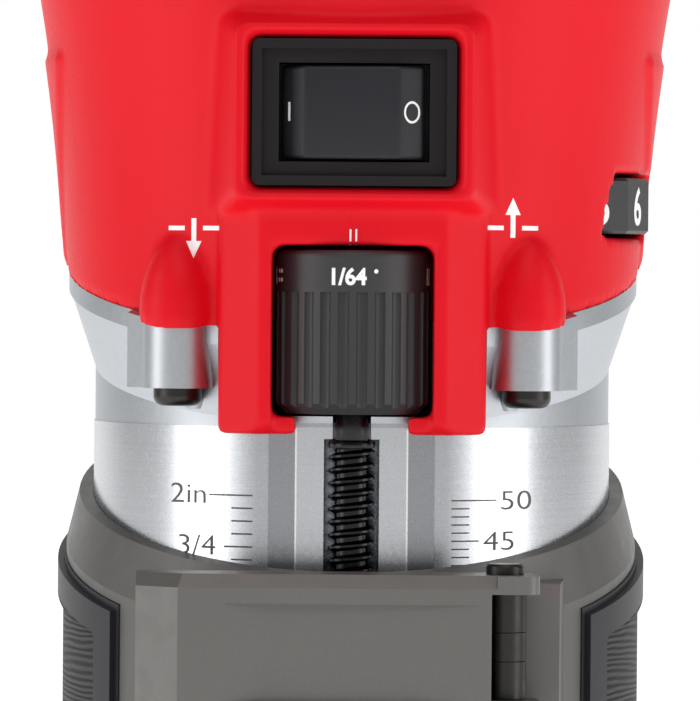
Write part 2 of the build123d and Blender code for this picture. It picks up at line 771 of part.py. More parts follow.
def switch_boot():
    """Rubber frame around the rocker, sunk in the housing's frame."""
    w, h = BOOT_HALF
    front, back = FRAME_FRONT + 0.9, -34.6
    body = block(-w, w, front, back, SWITCH_Z - h, SWITCH_Z + h)
    body = softened(body, body.edges().filter_by(Axis.Y), 0.9)
    body -= block(-w + 1.2, w - 1.2, front - 1, front + 0.9, SWITCH_Z - h + 1.2, SWITCH_Z + h - 1.2)
    rw, rh = ROCKER_HALF
    hole = block(-rw - 0.35, rw + 0.35, front - 1, back + 1, SWITCH_Z - rh - 0.35, SWITCH_Z + rh + 0.35)
    pivot = cyl(1.1 + RUN, SWITCH_Z - rh - 1.9, SWITCH_Z + rh + 1.9, 0, ROCKER_PIVOT_Y)
    return body - hole - pivot


def switch_rocker():
    """Rocker with a flat middle and sloping ends, tilted to the off side."""
    rw, rh = ROCKER_HALF
    front = -41.6
    outline = Polyline(
        (-rw + 0.6, -36.2),
        (-rw + 0.3, front + 1.0),
        (-5.6, front),
        (5.6, front),
        (rw - 0.3, front + 1.0),
        (rw - 0.6, -36.2),
        close=True,
    )
    body = extrude(Pos(0, 0, SWITCH_Z - rh) * make_face(outline), 2 * rh)
    body = softened(body, body.edges().filter_by(Axis.Z), 0.3)
    body += cyl(1.1, SWITCH_Z - rh - 1.6, SWITCH_Z + rh + 1.6, 0, ROCKER_PIVOT_Y)
    shift = Pos(0, ROCKER_PIVOT_Y, 0)
    return shift * Rot(Z=ROCKER_TILT) * Pos(0, -ROCKER_PIVOT_Y, 0) * body


def speed_dial():
    """Twelve-sided thumb wheel for the spindle speed."""
    r = DIAL_APOTHEM / math.cos(math.pi / DIAL_SIDES)
    wheel = extrude(RegularPolygon(r, DIAL_SIDES), DIAL_HEIGHT)
    wheel = chamfer(wheel.edges().filter_by(Axis.Z, reverse=True), 0.4)
    first = 38.0 - 90.0  # direction of the first face's normal from +X
    wheel = Rot(Z=first + 180 / DIAL_SIDES) * wheel
    wheel -= cyl(2.0 + RUN, -1, DIAL_HEIGHT + 1)
    wheel -= ring(11.5, 5.0, 2.4, DIAL_HEIGHT + 1)
    return Pos(DIAL_X, DIAL_Y, DIAL_BOTTOM) * wheel


def dial_axle():
    """Fixed potentiometer spindle that carries the dial."""
    low, high = PLATE_Z[1], DIAL_BOTTOM + DIAL_HEIGHT + 3.0
    body = cyl(2.0, low, high, DIAL_X, DIAL_Y)
    return body + cyl(4.0, low, DIAL_BOTTOM - 0.3, DIAL_X, DIAL_Y)


def speed_module():
    """Potted speed controller in the head."""
    tray = block(-24, 24, -19, 19, 156, 178)
    tray = softened(tray, tray.edges().filter_by(Axis.Z), 3.0)
    tray -= block(-22, 22, -17, 17, 158, 179)
    return tray


def speed_board():
    """Circuit board with its large components."""
    body = block(-21.8, 21.8, -16.8, 16.8, 166, 167.6)
    body += cyl(5.0, 167.5, 184.0, -12, 6)
    body += block(3, 17, -11, -3, 167.5, 181.0)
    body += block(4, 14, 3, 12, 167.5, 175.0)
    return body


def cord_gland():
    """Rubber grommet where the cord would enter."""
    body = rod_y(6.95, 37.0, 46.0, 0, GLAND_Z)
    body += rod_y(8.6, 43.9, 46.6, 0, GLAND_Z)
    body += rod_y(8.6, 36.4, 39.2, 0, GLAND_Z)
    return body - rod_y(4.0, 30, 60, 0, GLAND_Z)


def snap_ring():
    """Ring that holds the lower bearing in the barrel."""
    return ring(LOWER_BEARING[0] - 0.02, 11.0, LOWER_BEARING[3] + 0.05, LOWER_BEARING[3] + 1.3)


# ---- base ---------------------------------------------------------------------------------


def rim_cut():
    """Everything over the rim: the sloping plane in front and the level behind."""
    return above(RIM_Z, RIM_SLOPE) + above(RIM_TOP)


def sleeve_form():
    """Upright sleeve with its sloping collar band."""
    low = RIM_Z - RIM_BAND
    upright = cyl(SLEEVE_R, FLARE_TOP, RIM_TOP + 12) - above(low, RIM_SLOPE)
    collar = loft(
        [tilted_ellipse(SLEEVE_R, low, RIM_SLOPE), tilted_ellipse(RIM_R, RIM_Z, RIM_SLOPE)],
        ruled=True,
    )
    return upright + collar - above(RIM_TOP)


def tilted_ellipse(r, z_on_axis, slope):
    """The cut of an upright cylinder of radius r by a plane that slopes along Y."""
    plane = Plane(origin=(0, 0, z_on_axis), x_dir=(1, 0, 0), z_dir=(0, -slope, 1))
    return plane * Ellipse(r, r * math.sqrt(1 + slope**2))


def base_casting():
    """Sleeve, flare and foot in one casting, with the split ears of the clamp."""
    flare = turned(
        [
            (0, SUB_BASE_THICK),
            (FOOT_R, SUB_BASE_THICK),
            (FOOT_R, FOOT_TOP - 2.0),
            (FOOT_R - 2.0, FOOT_TOP),
            (50.0, FOOT_TOP),
            (43.0, 19.0),
            (39.0, 28.0),
            (SLEEVE_R, FLARE_TOP),
            (SLEEVE_R, FLARE_TOP + 4),
            (0, FLARE_TOP + 4),
        ]
    )
    z0, z1 = EAR_Z
    ears = extrude(
        Pos(0, 0, z0)
        * make_face(
            Polyline(
                (-EAR_HALF - 1.0, -24),
                (-EAR_HALF, EAR_FRONT),
                (EAR_HALF, EAR_FRONT),
                (EAR_HALF + 1.0, -24),
                close=True,
            )
        ),
        z1 - z0,
    )
    ears = chamfer(ears.edges().group_by(Axis.Z)[-1].group_by(Axis.Y)[0], 1.6)
    ears = chamfer(ears.edges().group_by(Axis.Z)[0].group_by(Axis.Y)[0], 1.6)
    body = flare + sleeve_form() + ears
    body -= cyl(BORE_R, FOOT_TOP, RIM_TOP + 20)
    mouth = cone(BORE_R, BORE_R + 1.2, RIM_TOP - 1.2, RIM_TOP + 0.01)
    body -= mouth
    body -= cyl(FOOT_HOLE_R, 0, FOOT_TOP + 1)
    for y0, y1 in ((-70.0, -20.0), (20.0, 70.0)):
        window = block(-WINDOW_HALF, WINDOW_HALF, y0, y1, FOOT_TOP, WINDOW_TOP)
        window = softened(window, window.edges().filter_by(Axis.Y).group_by(Axis.Z)[-1], 8.0)
        body -= window
    body -= block(-SLOT_HALF, SLOT_HALF, -60, -20, WINDOW_TOP - 2, RIM_TOP + 5)
    relief = SCREW_Y - SCREW_R - 0.5
    body -= block(-SLOT_HALF - 0.6, SLOT_HALF + 0.6, relief, -20, WINDOW_TOP - 2, RIM_TOP + 5)
    lug_left = block(-18.0, -14.0, -45.0, EAR_FRONT + 2, *LUG_Z)
    lug_right = block(10.0, 15.7, -45.0, EAR_FRONT + 2, *LUG_Z)
    lugs = lug_left + lug_right
    lugs = softened(lugs, lugs.edges().filter_by(Axis.X), 0.8)
    body += lugs
    body -= rod_x(BOLT_R + RUN, -19, 17, PIN_Y, BOLT_Z)
    body -= rod_x(1.0, -9.5, 9.5, RELEASE_Y, RELEASE_Z)
    body -= rod_y(1.6, EAR_FRONT - 1, EAR_FRONT + 1.6, 5.6, 55.5)
    body -= mirrored(pad_seat()) + pad_seat()
    body -= block(-7.5, 7.5, EAR_FRONT - 3, EAR_FRONT + 0.0, EAR_Z[0] - 1, 62)
    for angle in SUB_BASE_SCREW_ANGLES:
        x, y = polar(MOUNT_PCD / 2, angle)
        body -= cyl(1.6, 0, FOOT_TOP - 1.5, x, y)
    for angle in ACCESSORY_ANGLES:
        x, y = polar(MOUNT_PCD / 2, angle)
        body -= cyl(2.6, 0, FOOT_TOP + 1, x, y)
    return biggest(body)


SUB_BASE_SCREW_ANGLES = (60.0, 120.0, 240.0, 300.0)
ACCESSORY_ANGLES = (75.0, 195.0, 315.0)


def pad_seat():
    """Shallow pocket of the right grip pad."""
    z0 = PAD_BOTTOM
    shell = ring(CLEAR / 4, PAD_SEAT_R, z0, RIM_TOP) & wedge(PAD_ANGLE, PAD_BACK_ANGLE, 60, z0, RIM_TOP)
    return shell - above(RIM_Z - RIM_BAND - 1.2, RIM_SLOPE)


def grip_pad():
    """Rubber grip on the right side, with a bevelled border and a sunk middle."""
    z0 = PAD_BOTTOM
    edge = 0.03
    wide = wedge(PAD_ANGLE, PAD_BACK_ANGLE, 60, z0 + edge, RIM_TOP)
    top = RIM_Z - RIM_BAND - 1.2 - edge
    body = ring(SLEEVE_R + 0.25, PAD_SEAT_R, z0 + edge, RIM_TOP) & wide
    inner_wedge = wedge(PAD_ANGLE + 1.0, PAD_BACK_ANGLE - 1.0, 60, z0 + 0.8, RIM_TOP)
    raised = ring(PAD_R, PAD_SEAT_R, z0 + 0.8, RIM_TOP) & inner_wedge
    raised -= above(top - 0.8, RIM_SLOPE)
    panel_wedge = wedge(PAD_ANGLE + 7.0, PAD_BACK_ANGLE - 7.0, 60, z0 + 5, RIM_TOP)
    panel = ring(PAD_R + 1, PAD_R - 0.7, z0 + 5, RIM_TOP) & panel_wedge
    panel -= above(top - 5.0, RIM_SLOPE)
    body = body - above(top, RIM_SLOPE) + raised - panel
    return biggest(body)


def sub_base():
    """Clear-bore plastic plate under the foot."""
    body = cyl(SUB_BASE_R, 0, SUB_BASE_THICK)
    body = chamfer(body.edges().group_by(Axis.Z)[0], 1.0)
    body = chamfer(body.edges().group_by(Axis.Z)[-1], 0.5)
    body -= cyl(GUIDE_HOLE_R, -1, SUB_BASE_THICK + 1)
    body -= cyl(GUIDE_STEP_R, SUB_BASE_THICK - 2.5, SUB_BASE_THICK + 1)
    for angle in SUB_BASE_SCREW_ANGLES:
        x, y = polar(MOUNT_PCD / 2, angle)
        body -= cyl(1.7, -1, SUB_BASE_THICK + 1, x, y)
        body -= cone(3.6, 1.7, 0.4, 2.6, x, y) + cyl(3.6, -1, 0.41, x, y)
    for angle in ACCESSORY_ANGLES:
        x, y = polar(MOUNT_PCD / 2, angle)
        body -= cyl(2.6, -1, SUB_BASE_THICK + 1, x, y)
    return body


def sub_base_screws():
    """Countersunk screws that hold the plate on the foot."""
    shapes = []
    for angle in SUB_BASE_SCREW_ANGLES:
        x, y = polar(MOUNT_PCD / 2, angle)
        head = cone(3.3, 1.55, 0.55, 2.5, x, y)
        shapes.append(head + cyl(1.55, 2.4, FOOT_TOP - 2.0, x, y))
    return group(shapes)


# ---- clamp --------------------------------------------------------------------------------


def clamp_lever():
    """Hollow lever with two knuckle plates at its pivot end."""
    z0, z1 = LEVER_Z
    arm = block(LEVER_LEFT, PIN_X, LEVER_FRONT, LEVER_BACK, z0, z1)
    left = arm.edges().group_by(Axis.X)[0].group_by(Axis.Y)[0]
    arm = chamfer(left, 4.0, 5.2)
    crown = arm.edges().group_by(Axis.Z)[-1]
    crown = [e for e in crown if e.center().Y < LEVER_FRONT + 3.5]
    arm = chamfer(crown, 1.6)
    knuckle = cyl(KNUCKLE_R, z0, z1, PIN_X, PIN_Y)
    nose = block(PIN_X - 1, PIN_X + KNUCKLE_R, LEVER_FRONT, PIN_Y, z0, z1)
    nose = softened(nose, nose.edges().filter_by(Axis.Z).group_by(Axis.X)[-1], 3.0)
    body = arm + knuckle + nose
    body -= block(-22.0, 17.0, -45.5, -30, 75.5, 84.5)
    body -= block(13.0, 30.0, -45.5, -30, *CLEVIS_Z)
    body -= block(17.0, 30.0, -60, -30, *CLEVIS_Z)
    body -= block(-4.4, 4.4, -41.7, -30, 70, 78.6)
    body -= lever_scoop()
    body -= cyl(PIN_R + 0.02, 60, 100, PIN_X, PIN_Y)
    return biggest(body)


def lever_scoop():
    """Shallow hollow in the front face, deepest at the left."""
    plane = Plane.XY.offset(LEVER_Z[0] + 1.9)
    outline = Polyline(
        (-15.5, LEVER_FRONT - 1),
        (-15.5, LEVER_FRONT),
        (-10.4, LEVER_FRONT + 1.0),
        (8.0, LEVER_FRONT + 0.75),
        (16.0, LEVER_FRONT),
        (16.0, LEVER_FRONT - 1),
        close=True,
    )
    return extrude(plane * make_face(outline), LEVER_Z[1] - LEVER_Z[0] - 5.4)


def lever_pin():
    """Pivot pin with a domed head on top of the lever."""
    z0, z1 = LEVER_Z
    head = cyl(2.3, z1, z1 + 1.3, PIN_X, PIN_Y)
    head = softened(head, head.edges().group_by(Axis.Z)[-1], 0.5)
    return head + cyl(PIN_R, z0 + 0.3, z1 + 0.1, PIN_X, PIN_Y)


def cam_bushings():
    """Two steel bushings on the pin, above and below the bolt's eye."""
    low = ring(BARREL_JOINT_R, PIN_R + 0.02, 73.7, 78.2, PIN_X, PIN_Y)
    high = ring(BARREL_JOINT_R, PIN_R + 0.02, 81.8, 86.4, PIN_X, PIN_Y)
    return group([low, high])


def draw_bolt():
    """Eye bolt that pulls the two ears together."""
    eye = ring(BARREL_JOINT_R, PIN_R + RUN, 78.3, 81.7, PIN_X, PIN_Y)
    shank = rod_x(BOLT_R, -21.4, PIN_X - PIN_R - 0.4, PIN_Y, BOLT_Z)
    return eye + shank - cyl(PIN_R + RUN, 78, 82, PIN_X, PIN_Y)


def clamp_nut():
    """Adjusting nut at the bolt's far end."""
    hexagon = extrude(RegularPolygon(2.35, 6, major_radius=False), 2.8)
    nut = Pos(-20.9, PIN_Y, BOLT_Z) * Rot(Y=90) * hexagon
    return nut - rod_x(BOLT_R, -30, -10, PIN_Y, BOLT_Z)


def half_nut():
    """Rocker with a half thread above its pivot and a thumb pad below."""
    body = block(-3.75, 3.75, -38.4, -35.2, 57.0, NUT_Z[1])
    body += block(-3.75, 3.75, -38.4, -32.4, *NUT_Z)
    pad = block(-7.0, 7.0, -43.4, -40.9, 49.0, 60.0)
    pad = softened(pad, pad.edges().group_by(Axis.Y)[0], 1.2)
    body += pad
    body += block(-3.75, 3.75, -41.5, -37.5, 53.5, 60.0)
    body -= cyl(SCREW_R + 0.1, NUT_Z[0] - 1, NUT_Z[1] + 1, 0, SCREW_Y)
    body -= rod_x(1.0 + RUN, -10, 10, RELEASE_Y, RELEASE_Z)
    body -= block(-4, 4, -36.1, -30, 56, 60.0)
    return body


def release_pin():
    """Pivot pin of the half nut, held in both ears."""
    return rod_x(1.0, -9.4, 9.4, RELEASE_Y, RELEASE_Z)


def release_spring():
    """Spring that keeps the half nut engaged."""
    return Pos(5.6, EAR_FRONT + 1.5, 55.5) * Rot(X=90) * coil_spring(1.1, 0.22, 3.9, 3)


# ---- all nodes ----------------------------------------------------------------------------


def all_parts():
    """Every node of the assembly by name."""
    left, right = housing_halves()
    low_outer, low_balls, low_inner = bearing(LOWER_BEARING, 8)
    top_outer, top_balls, top_inner = bearing(UPPER_BEARING, 7)
    return {
        "base_casting": base_casting(),
        "sub_base": sub_base(),
        "sub_base_screws": sub_base_screws(),
        "grip_pad_right": grip_pad(),
        "grip_pad_left": mirrored(grip_pad()),
        "draw_bolt": draw_bolt(),
        "clamp_nut": clamp_nut(),
        "release_pin": release_pin(),
        "release_spring": release_spring(),
        "half_nut": half_nut(),
        "clamp_lever": clamp_lever(),
        "lever_pin": lever_pin(),
        "cam_bushings": cam_bushings(),
        "motor_barrel": motor_barrel(),
        "housing_left": left,
        "housing_right": right,
        "top_cap": top_cap(),
        "barrel_screws": barrel_screws(),
        "housing_screws": housing_screws(),
        "cap_screws": cap_screws(),
        "switch_body": switch_body(),
        "switch_boot": switch_boot(),
        "switch_rocker": switch_rocker(),
        "speed_dial": speed_dial(),
        "dial_axle": dial_axle(),
        "speed_module": speed_module(),
        "speed_board": speed_board(),
        "cord_gland": cord_gland(),
        "stator_core": stator_core(),
        "field_windings": field_windings(),
        "brush_holders": brush_holders(),
        "brushes": brushes(),
        "brush_springs": brush_springs(),
        "lower_bearing_outer": low_outer,
        "lower_bearing_balls": low_balls,
        "lower_bearing_inner": low_inner,
        "upper_bearing_outer": top_outer,
        "upper_bearing_balls": top_balls,
        "upper_bearing_inner": top_inner,
        "bearing_snap_ring": snap_ring(),
        "spindle_shaft": spindle_shaft(),
        "collet": collet(),
        "collet_nut": collet_nut(),
        "rotor_core": rotor_core(),
        "rotor_windings": rotor_windings(),
        "commutator": commutator(),
        "cooling_fan": cooling_fan(),
        "depth_screw": depth_screw(),
        "depth_knob": depth_knob(),
    }


if __name__ == "__main__":
    os.makedirs("parts", exist_ok=True)
    for name, shape in all_parts().items():
        export_step(shape, f"parts/{name}.step")
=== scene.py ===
"""Looks for a compact fixed-base router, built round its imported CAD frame.

Metres, +Z up, -Y towards the switch and the clamp lever. Sizes in the classes are millimetres.
"""

import logging
import math
from dataclasses import dataclass, field
from enum import Enum
from typing import Callable, Iterable, Sequence

import bmesh
import bpy
from mathutils import Matrix, Vector

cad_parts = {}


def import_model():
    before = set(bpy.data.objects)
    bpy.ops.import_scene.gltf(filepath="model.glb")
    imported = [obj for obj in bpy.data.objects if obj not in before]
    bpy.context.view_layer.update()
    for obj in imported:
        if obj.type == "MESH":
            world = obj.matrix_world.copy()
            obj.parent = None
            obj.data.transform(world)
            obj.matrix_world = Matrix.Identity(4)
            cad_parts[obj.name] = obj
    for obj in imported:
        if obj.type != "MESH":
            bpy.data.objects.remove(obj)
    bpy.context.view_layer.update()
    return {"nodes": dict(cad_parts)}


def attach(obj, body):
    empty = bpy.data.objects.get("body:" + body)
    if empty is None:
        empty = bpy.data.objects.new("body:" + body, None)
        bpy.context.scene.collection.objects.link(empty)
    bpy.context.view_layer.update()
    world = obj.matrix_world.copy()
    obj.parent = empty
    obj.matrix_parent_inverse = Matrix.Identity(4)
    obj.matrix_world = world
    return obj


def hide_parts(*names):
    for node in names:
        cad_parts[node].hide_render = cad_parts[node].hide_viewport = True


LOG = logging.getLogger("router")
MM = 0.001

# Upright marks are made flat in the XZ plane, facing -Y.
UPRIGHT = (math.pi / 2, 0, 0)
# A mark's thickness and the longest edge it may have before it is laid on a surface.
MARK_MM = 0.05
MARK_EDGE_MM = 0.6

Nodes = dict[str, bpy.types.Object]
Rule = Callable[[Vector], Vector]
Colour = tuple[float, float, float, float]


# ---- shader maths -------------------------------------------------------------------------


class Term:
    """A number that varies over a surface, with the usual operators."""

    def __init__(self, paint: "Paint", socket: bpy.types.NodeSocket) -> None:
        """Keeps the material's builder and the socket that gives the number.

        Args:
            paint: the builder that adds nodes.
            socket: the output that this number comes from.
        """
        self.paint = paint
        self.socket = socket

    def _op(self, name: str, *others: "Term | float") -> "Term":
        """One Math node on this term and others."""
        return self.paint.math(name, self, *others)

    def __add__(self, other: "Term | float") -> "Term":
        """Sum."""
        return self._op("ADD", other)

    def __radd__(self, other: "Term | float") -> "Term":
        """Sum with a number in front."""
        return self._op("ADD", other)

    def __sub__(self, other: "Term | float") -> "Term":
        """Difference."""
        return self._op("SUBTRACT", other)

    def __rsub__(self, other: "Term | float") -> "Term":
        """Difference from a number in front."""
        return self.paint.math("SUBTRACT", other, self)

    def __mul__(self, other: "Term | float") -> "Term":
        """Product."""
        return self._op("MULTIPLY", other)

    def __rmul__(self, other: "Term | float") -> "Term":
        """Product with a number in front."""
        return self._op("MULTIPLY", other)

    def above(self, level: float, soft: float = 0.0) -> "Term":
        """1 where this term is over a level.

        Args:
            level: the level.
            soft: width of the soft edge, or 0 for a hard one.

        Returns:
            The mask.
        """
        if soft <= 0:
            return self._op("GREATER_THAN", level)
        return self.paint.ramp_between(self, level - soft / 2, level + soft / 2)

    def below(self, level: float, soft: float = 0.0) -> "Term":
        """1 where this term is under a level."""
        return 1.0 - self.above(level, soft)

    def size(self) -> "Term":
        """Absolute value."""
        return self._op("ABSOLUTE")


class Paint:
    """Builds one node material on a Principled shader."""

    def __init__(self, name: str) -> None:
        """Starts an empty material with its shader and output.

        Args:
            name: the material's name.
        """
        self.material = bpy.data.materials.new(name)
        self.material.use_nodes = True
        self.nodes = self.material.node_tree.nodes
        self.links = self.material.node_tree.links
        self.nodes.clear()
        self.shader = self.nodes.new("ShaderNodeBsdfPrincipled")
        out = self.nodes.new("ShaderNodeOutputMaterial")
        self.links.new(self.shader.outputs["BSDF"], out.inputs["Surface"])
        self._where: bpy.types.NodeSocket | None = None

    def node(self, kind: str, settings: dict | None = None, **sockets: object) -> bpy.types.Node:
        """Adds a node, with its settings first and then its sockets.

        Args:
            kind: the node's type.
            settings: attributes of the node.
            **sockets: values or links; an underscore stands for a space in a name.

        Returns:
            The new node.
        """
        made = self.nodes.new(kind)
        for key, value in (settings or {}).items():
            setattr(made, key, value)
        for key, value in sockets.items():
            self.feed(made, key.replace("_", " "), value)
        return made

    def feed(self, node: bpy.types.Node, key: "str | int", value: object) -> None:
        """Sets or links one input of a node.

        Args:
            node: the node.
            key: the input's name or number.
            value: a plain value, a socket or a term.
        """
        socket = node.inputs[key]
        if isinstance(value, Term):
            value = value.socket
        if isinstance(value, bpy.types.NodeSocket):
            self.links.new(value, socket)
        else:
            socket.default_value = value

    def math(self, name: str, *values: "Term | float") -> Term:
        """Adds a Math node.

        Args:
            name: its operation.
            *values: its inputs in order.

        Returns:
            Its result.
        """
        made = self.node("ShaderNodeMath", {"operation": name})
        for i, value in enumerate(values):
            self.feed(made, i, value)
        return Term(self, made.outputs[0])

    def where(self) -> bpy.types.NodeSocket:
        """Object coordinates, in metres."""
        if self._where is None:
            self._where = self.node("ShaderNodeTexCoord").outputs["Object"]
        return self._where

    def axis(self, letter: str) -> Term:
        """One object coordinate in millimetres."""
        split = self.node("ShaderNodeSeparateXYZ", Vector=self.where())
        return Term(self, split.outputs[letter]) * 1000.0

    def stretched(self, scale: Sequence[float]) -> bpy.types.NodeSocket:
        """Object coordinates scaled per axis."""
        return self.node("ShaderNodeMapping", Vector=self.where(), Scale=scale).outputs["Vector"]

    def noise(self, per_m: "float | Sequence[float]", detail: float = 2.0) -> Term:
        """Noise between 0 and 1.

        Args:
            per_m: cells per metre, for all axes or for each.
            detail: octaves of finer noise.

        Returns:
            The noise.
        """
        scale = (per_m,) * 3 if isinstance(per_m, (int, float)) else tuple(per_m)
        made = self.node(
            "ShaderNodeTexNoise",
            Vector=self.stretched(scale),
            Scale=1.0,
            Detail=detail,
            Roughness=0.5,
        )
        return Term(self, made.outputs["Fac"])

    def cells(self, per_m: float) -> Term:
        """Distance to the nearest cell centre of a Voronoi pattern."""
        spots = self.stretched((per_m,) * 3)
        made = self.node("ShaderNodeTexVoronoi", Vector=spots, Scale=1.0)
        return Term(self, made.outputs["Distance"])

    def ramp_between(
        self,
        term: "Term | float",
        low: float,
        high: float,
        out0: float = 0.0,
        out1: float = 1.0,
    ) -> Term:
        """Maps a range of a term to another range, clamped at both ends.

        Args:
            term: what is mapped.
            low: value that gives out0.
            high: value that gives out1.
            out0: result at and below low.
            out1: result at and above high.

        Returns:
            The mapped term.
        """
        made = self.node("ShaderNodeMapRange", {"clamp": True})
        names = ("Value", "From Min", "From Max", "To Min", "To Max")
        for key, value in zip(names, (term, low, high, out0, out1)):
            self.feed(made, key, value)
        return Term(self, made.outputs[0])

    def blend(self, share: "Term | float", a: object, b: object) -> bpy.types.NodeSocket:
        """Mixes two colours.

        Args:
            share: how much of the second colour.
            a: first colour or socket.
            b: second colour or socket.

        Returns:
            The mixed colour.
        """
        made = self.node("ShaderNodeMix", {"data_type": "RGBA", "clamp_factor": True})
        for number, value in ((0, share), (6, a), (7, b)):
            self.feed(made, number, value)
        return made.outputs[2]

    def bump(self, height: Term, strength: float, depth_mm: float) -> None:
        """Lets a height shape the surface's normal.

        Args:
            height: the height, about 0 to 1.
            strength: how much of it shows.
            depth_mm: depth of a height of 1.
        """
        made = self.node(
            "ShaderNodeBump", Height=height, Strength=strength, Distance=depth_mm * MM
        )
        self.feed(self.shader, "Normal", made.outputs["Normal"])

    def set(self, **sockets: object) -> None:
        """Sets or links the shader's own sockets."""
        for key, value in sockets.items():
            self.feed(self.shader, key.replace("_", " "), value)


def linear(r: int, g: int, b: int) -> Colour:
    """Colour from 8-bit sRGB values.

    Args:
        r: red.
        g: green.
        b: blue.

    Returns:
        Linear colour with alpha 1.
    """

    def one(v: int) -> float:
        """One channel."""
        c = v / 255
        return c / 12.92 if c <= 0.04045 else ((c + 0.055) / 1.055) ** 2.4

    return (one(r), one(g), one(b), 1.0)


def scaled(colour: Sequence[float], factor: float) -> Colour:
    """A colour made darker or lighter, never over 1."""
    return tuple(min(1.0, c * factor) for c in colour[:3]) + (1.0,)


# ---- finishes -----------------------------------------------------------------------------


@dataclass(frozen=True)
class Moulded:
    """Moulded plastic or rubber with a fine grain and a little colour drift."""

    name: str
    colour: tuple[int, int, int]
    roughness: float = 0.4
    grain_mm: float = 0.02
    drift: float = 0.06
    specular: float = 0.5
    grain_per_m: float = 2600.0
    drift_per_m: float = 35.0

    def make(self) -> bpy.types.Material:
        """The finished material."""
        paint = Paint(self.name)
        base = linear(*self.colour)
        drift = paint.noise(self.drift_per_m, 3.0)
        grain = paint.noise(self.grain_per_m, 2.0)
        low, high = self.roughness - 0.04, self.roughness + 0.05
        paint.set(
            Base_Color=paint.blend(
                drift, scaled(base, 1 - self.drift), scaled(base, 1 + self.drift)
            ),
            Roughness=paint.ramp_between(grain, 0.3, 0.7, low, high),
            Specular_IOR_Level=self.specular,
        )
        paint.bump(grain, 0.35, self.grain_mm)
        return paint.material


@dataclass(frozen=True)
class Metal:
    """Bare or plated metal, with grinding lines along an axis if it has any."""

    name: str
    colour: tuple[int, int, int]
    roughness: float = 0.3
    lines: tuple[float, float, float] = (900.0, 900.0, 900.0)
    line_mm: float = 0.01
    stain_per_m: float = 60.0
    stain_level: float = 0.86

    def make(self) -> bpy.types.Material:
        """The finished material."""
        paint = Paint(self.name)
        base = linear(*self.colour)
        lines = paint.noise(self.lines, 3.0)
        stain = paint.noise(self.stain_per_m, 4.0)
        low, high = self.roughness - 0.06, self.roughness + 0.08
        paint.set(
            Base_Color=paint.blend(stain, scaled(base, self.stain_level), base),
            Roughness=paint.ramp_between(lines, 0.3, 0.7, low, high),
            Metallic=1.0,
        )
        paint.bump(lines, 0.3, self.line_mm)
        return paint.material


@dataclass(frozen=True)
class TurnedBarrel:
    """Turned aluminium below the shoulder and satin cast aluminium above it, with darker lands,
    painted shade beside them and a painted highlight along the rail edges at the front.
    """

    name: str = "turned_aluminium"
    shoulder_mm: float = 106.0
    rail_mm: float = 6.85
    land_mm: float = 10.2
    shade_mm: float = 2.6
    front_mm: float = -29.0
    edge_mm: float = 0.11
    turned_dark: tuple[int, int, int] = (192, 194, 198)
    turned_light: tuple[int, int, int] = (214, 216, 219)
    cast_dark: tuple[int, int, int] = (172, 176, 180)
    cast_light: tuple[int, int, int] = (188, 191, 195)
    # Darker grey for the lands and for the painted shade band beside them.
    milled: tuple[int, int, int] = (150, 152, 156)

    def make(self) -> bpy.types.Material:
        """The finished material."""
        paint = Paint(self.name)
        z = paint.axis("Z")
        cast = z.above(self.shoulder_mm, 0.2)
        turning = paint.noise((30.0, 30.0, 9000.0), 2.0)
        grain = paint.noise(1500.0, 3.0)
        turned = paint.blend(turning, linear(*self.turned_dark), linear(*self.turned_light))
        raw = paint.blend(grain, linear(*self.cast_dark), linear(*self.cast_light))
        height = turning * 0.1 * (1.0 - cast) + grain * cast * 0.6
        across = paint.axis("X").size()
        turned_part = 1.0 - z.above(self.shoulder_mm + 0.5, 0.2)
        front = paint.axis("Y").below(self.front_mm) * turned_part
        # The lands between the rails are coloured darker, and beyond them a band of painted
        # shade fades out.
        land = across.above(self.rail_mm, 0.1) * across.below(self.land_mm, 0.3) * front
        edge = (across - self.rail_mm).size().below(self.edge_mm, 0.08) * front
        fading = across.below(self.land_mm + self.shade_mm, 2.4)
        shade = across.above(self.land_mm, 0.3) * fading * front
        milled = paint.blend(land * 0.85 + shade * 0.5, turned, linear(*self.milled))
        # Painted highlight: a thin white line along each rail edge.
        milled = paint.blend(edge, milled, linear(255, 255, 255))
        paint.set(
            Base_Color=paint.blend(cast, milled, raw),
            Roughness=paint.ramp_between(cast, 0.0, 1.0, 0.27, 0.42) + (grain - 0.5) * 0.1,
            Metallic=1.0,
        )
        paint.bump(height, 0.3, 0.02)
        return paint.material


@dataclass(frozen=True)
class SparklePaint:
    """Grey paint with fine metallic flakes over a lightly pitted casting."""

    name: str = "grey_flake_paint"
    colour: tuple[int, int, int] = (103, 102, 99)
    flakes_per_m: float = 4200.0
    pits_per_m: float = 420.0
    cloud_per_m: float = 50.0

    def make(self) -> bpy.types.Material:
        """The finished material."""
        paint = Paint(self.name)
        base = linear(*self.colour)
        flakes = paint.cells(self.flakes_per_m).below(0.22, 0.1)
        pits = paint.noise(self.pits_per_m, 3.0)
        cloud = paint.noise(self.cloud_per_m, 3.0)
        ground = paint.blend(cloud, scaled(base, 0.9), base)
        paint.set(
            Base_Color=paint.blend(flakes * 0.35, ground, scaled(base, 1.8)),
            Roughness=paint.ramp_between(pits, 0.3, 0.7, 0.36, 0.48),
            Metallic=paint.ramp_between(flakes, 0.0, 1.0, 0.25, 0.5),
            Specular_IOR_Level=0.5,
        )
        paint.bump(pits, 0.25, 0.03)
        return paint.material


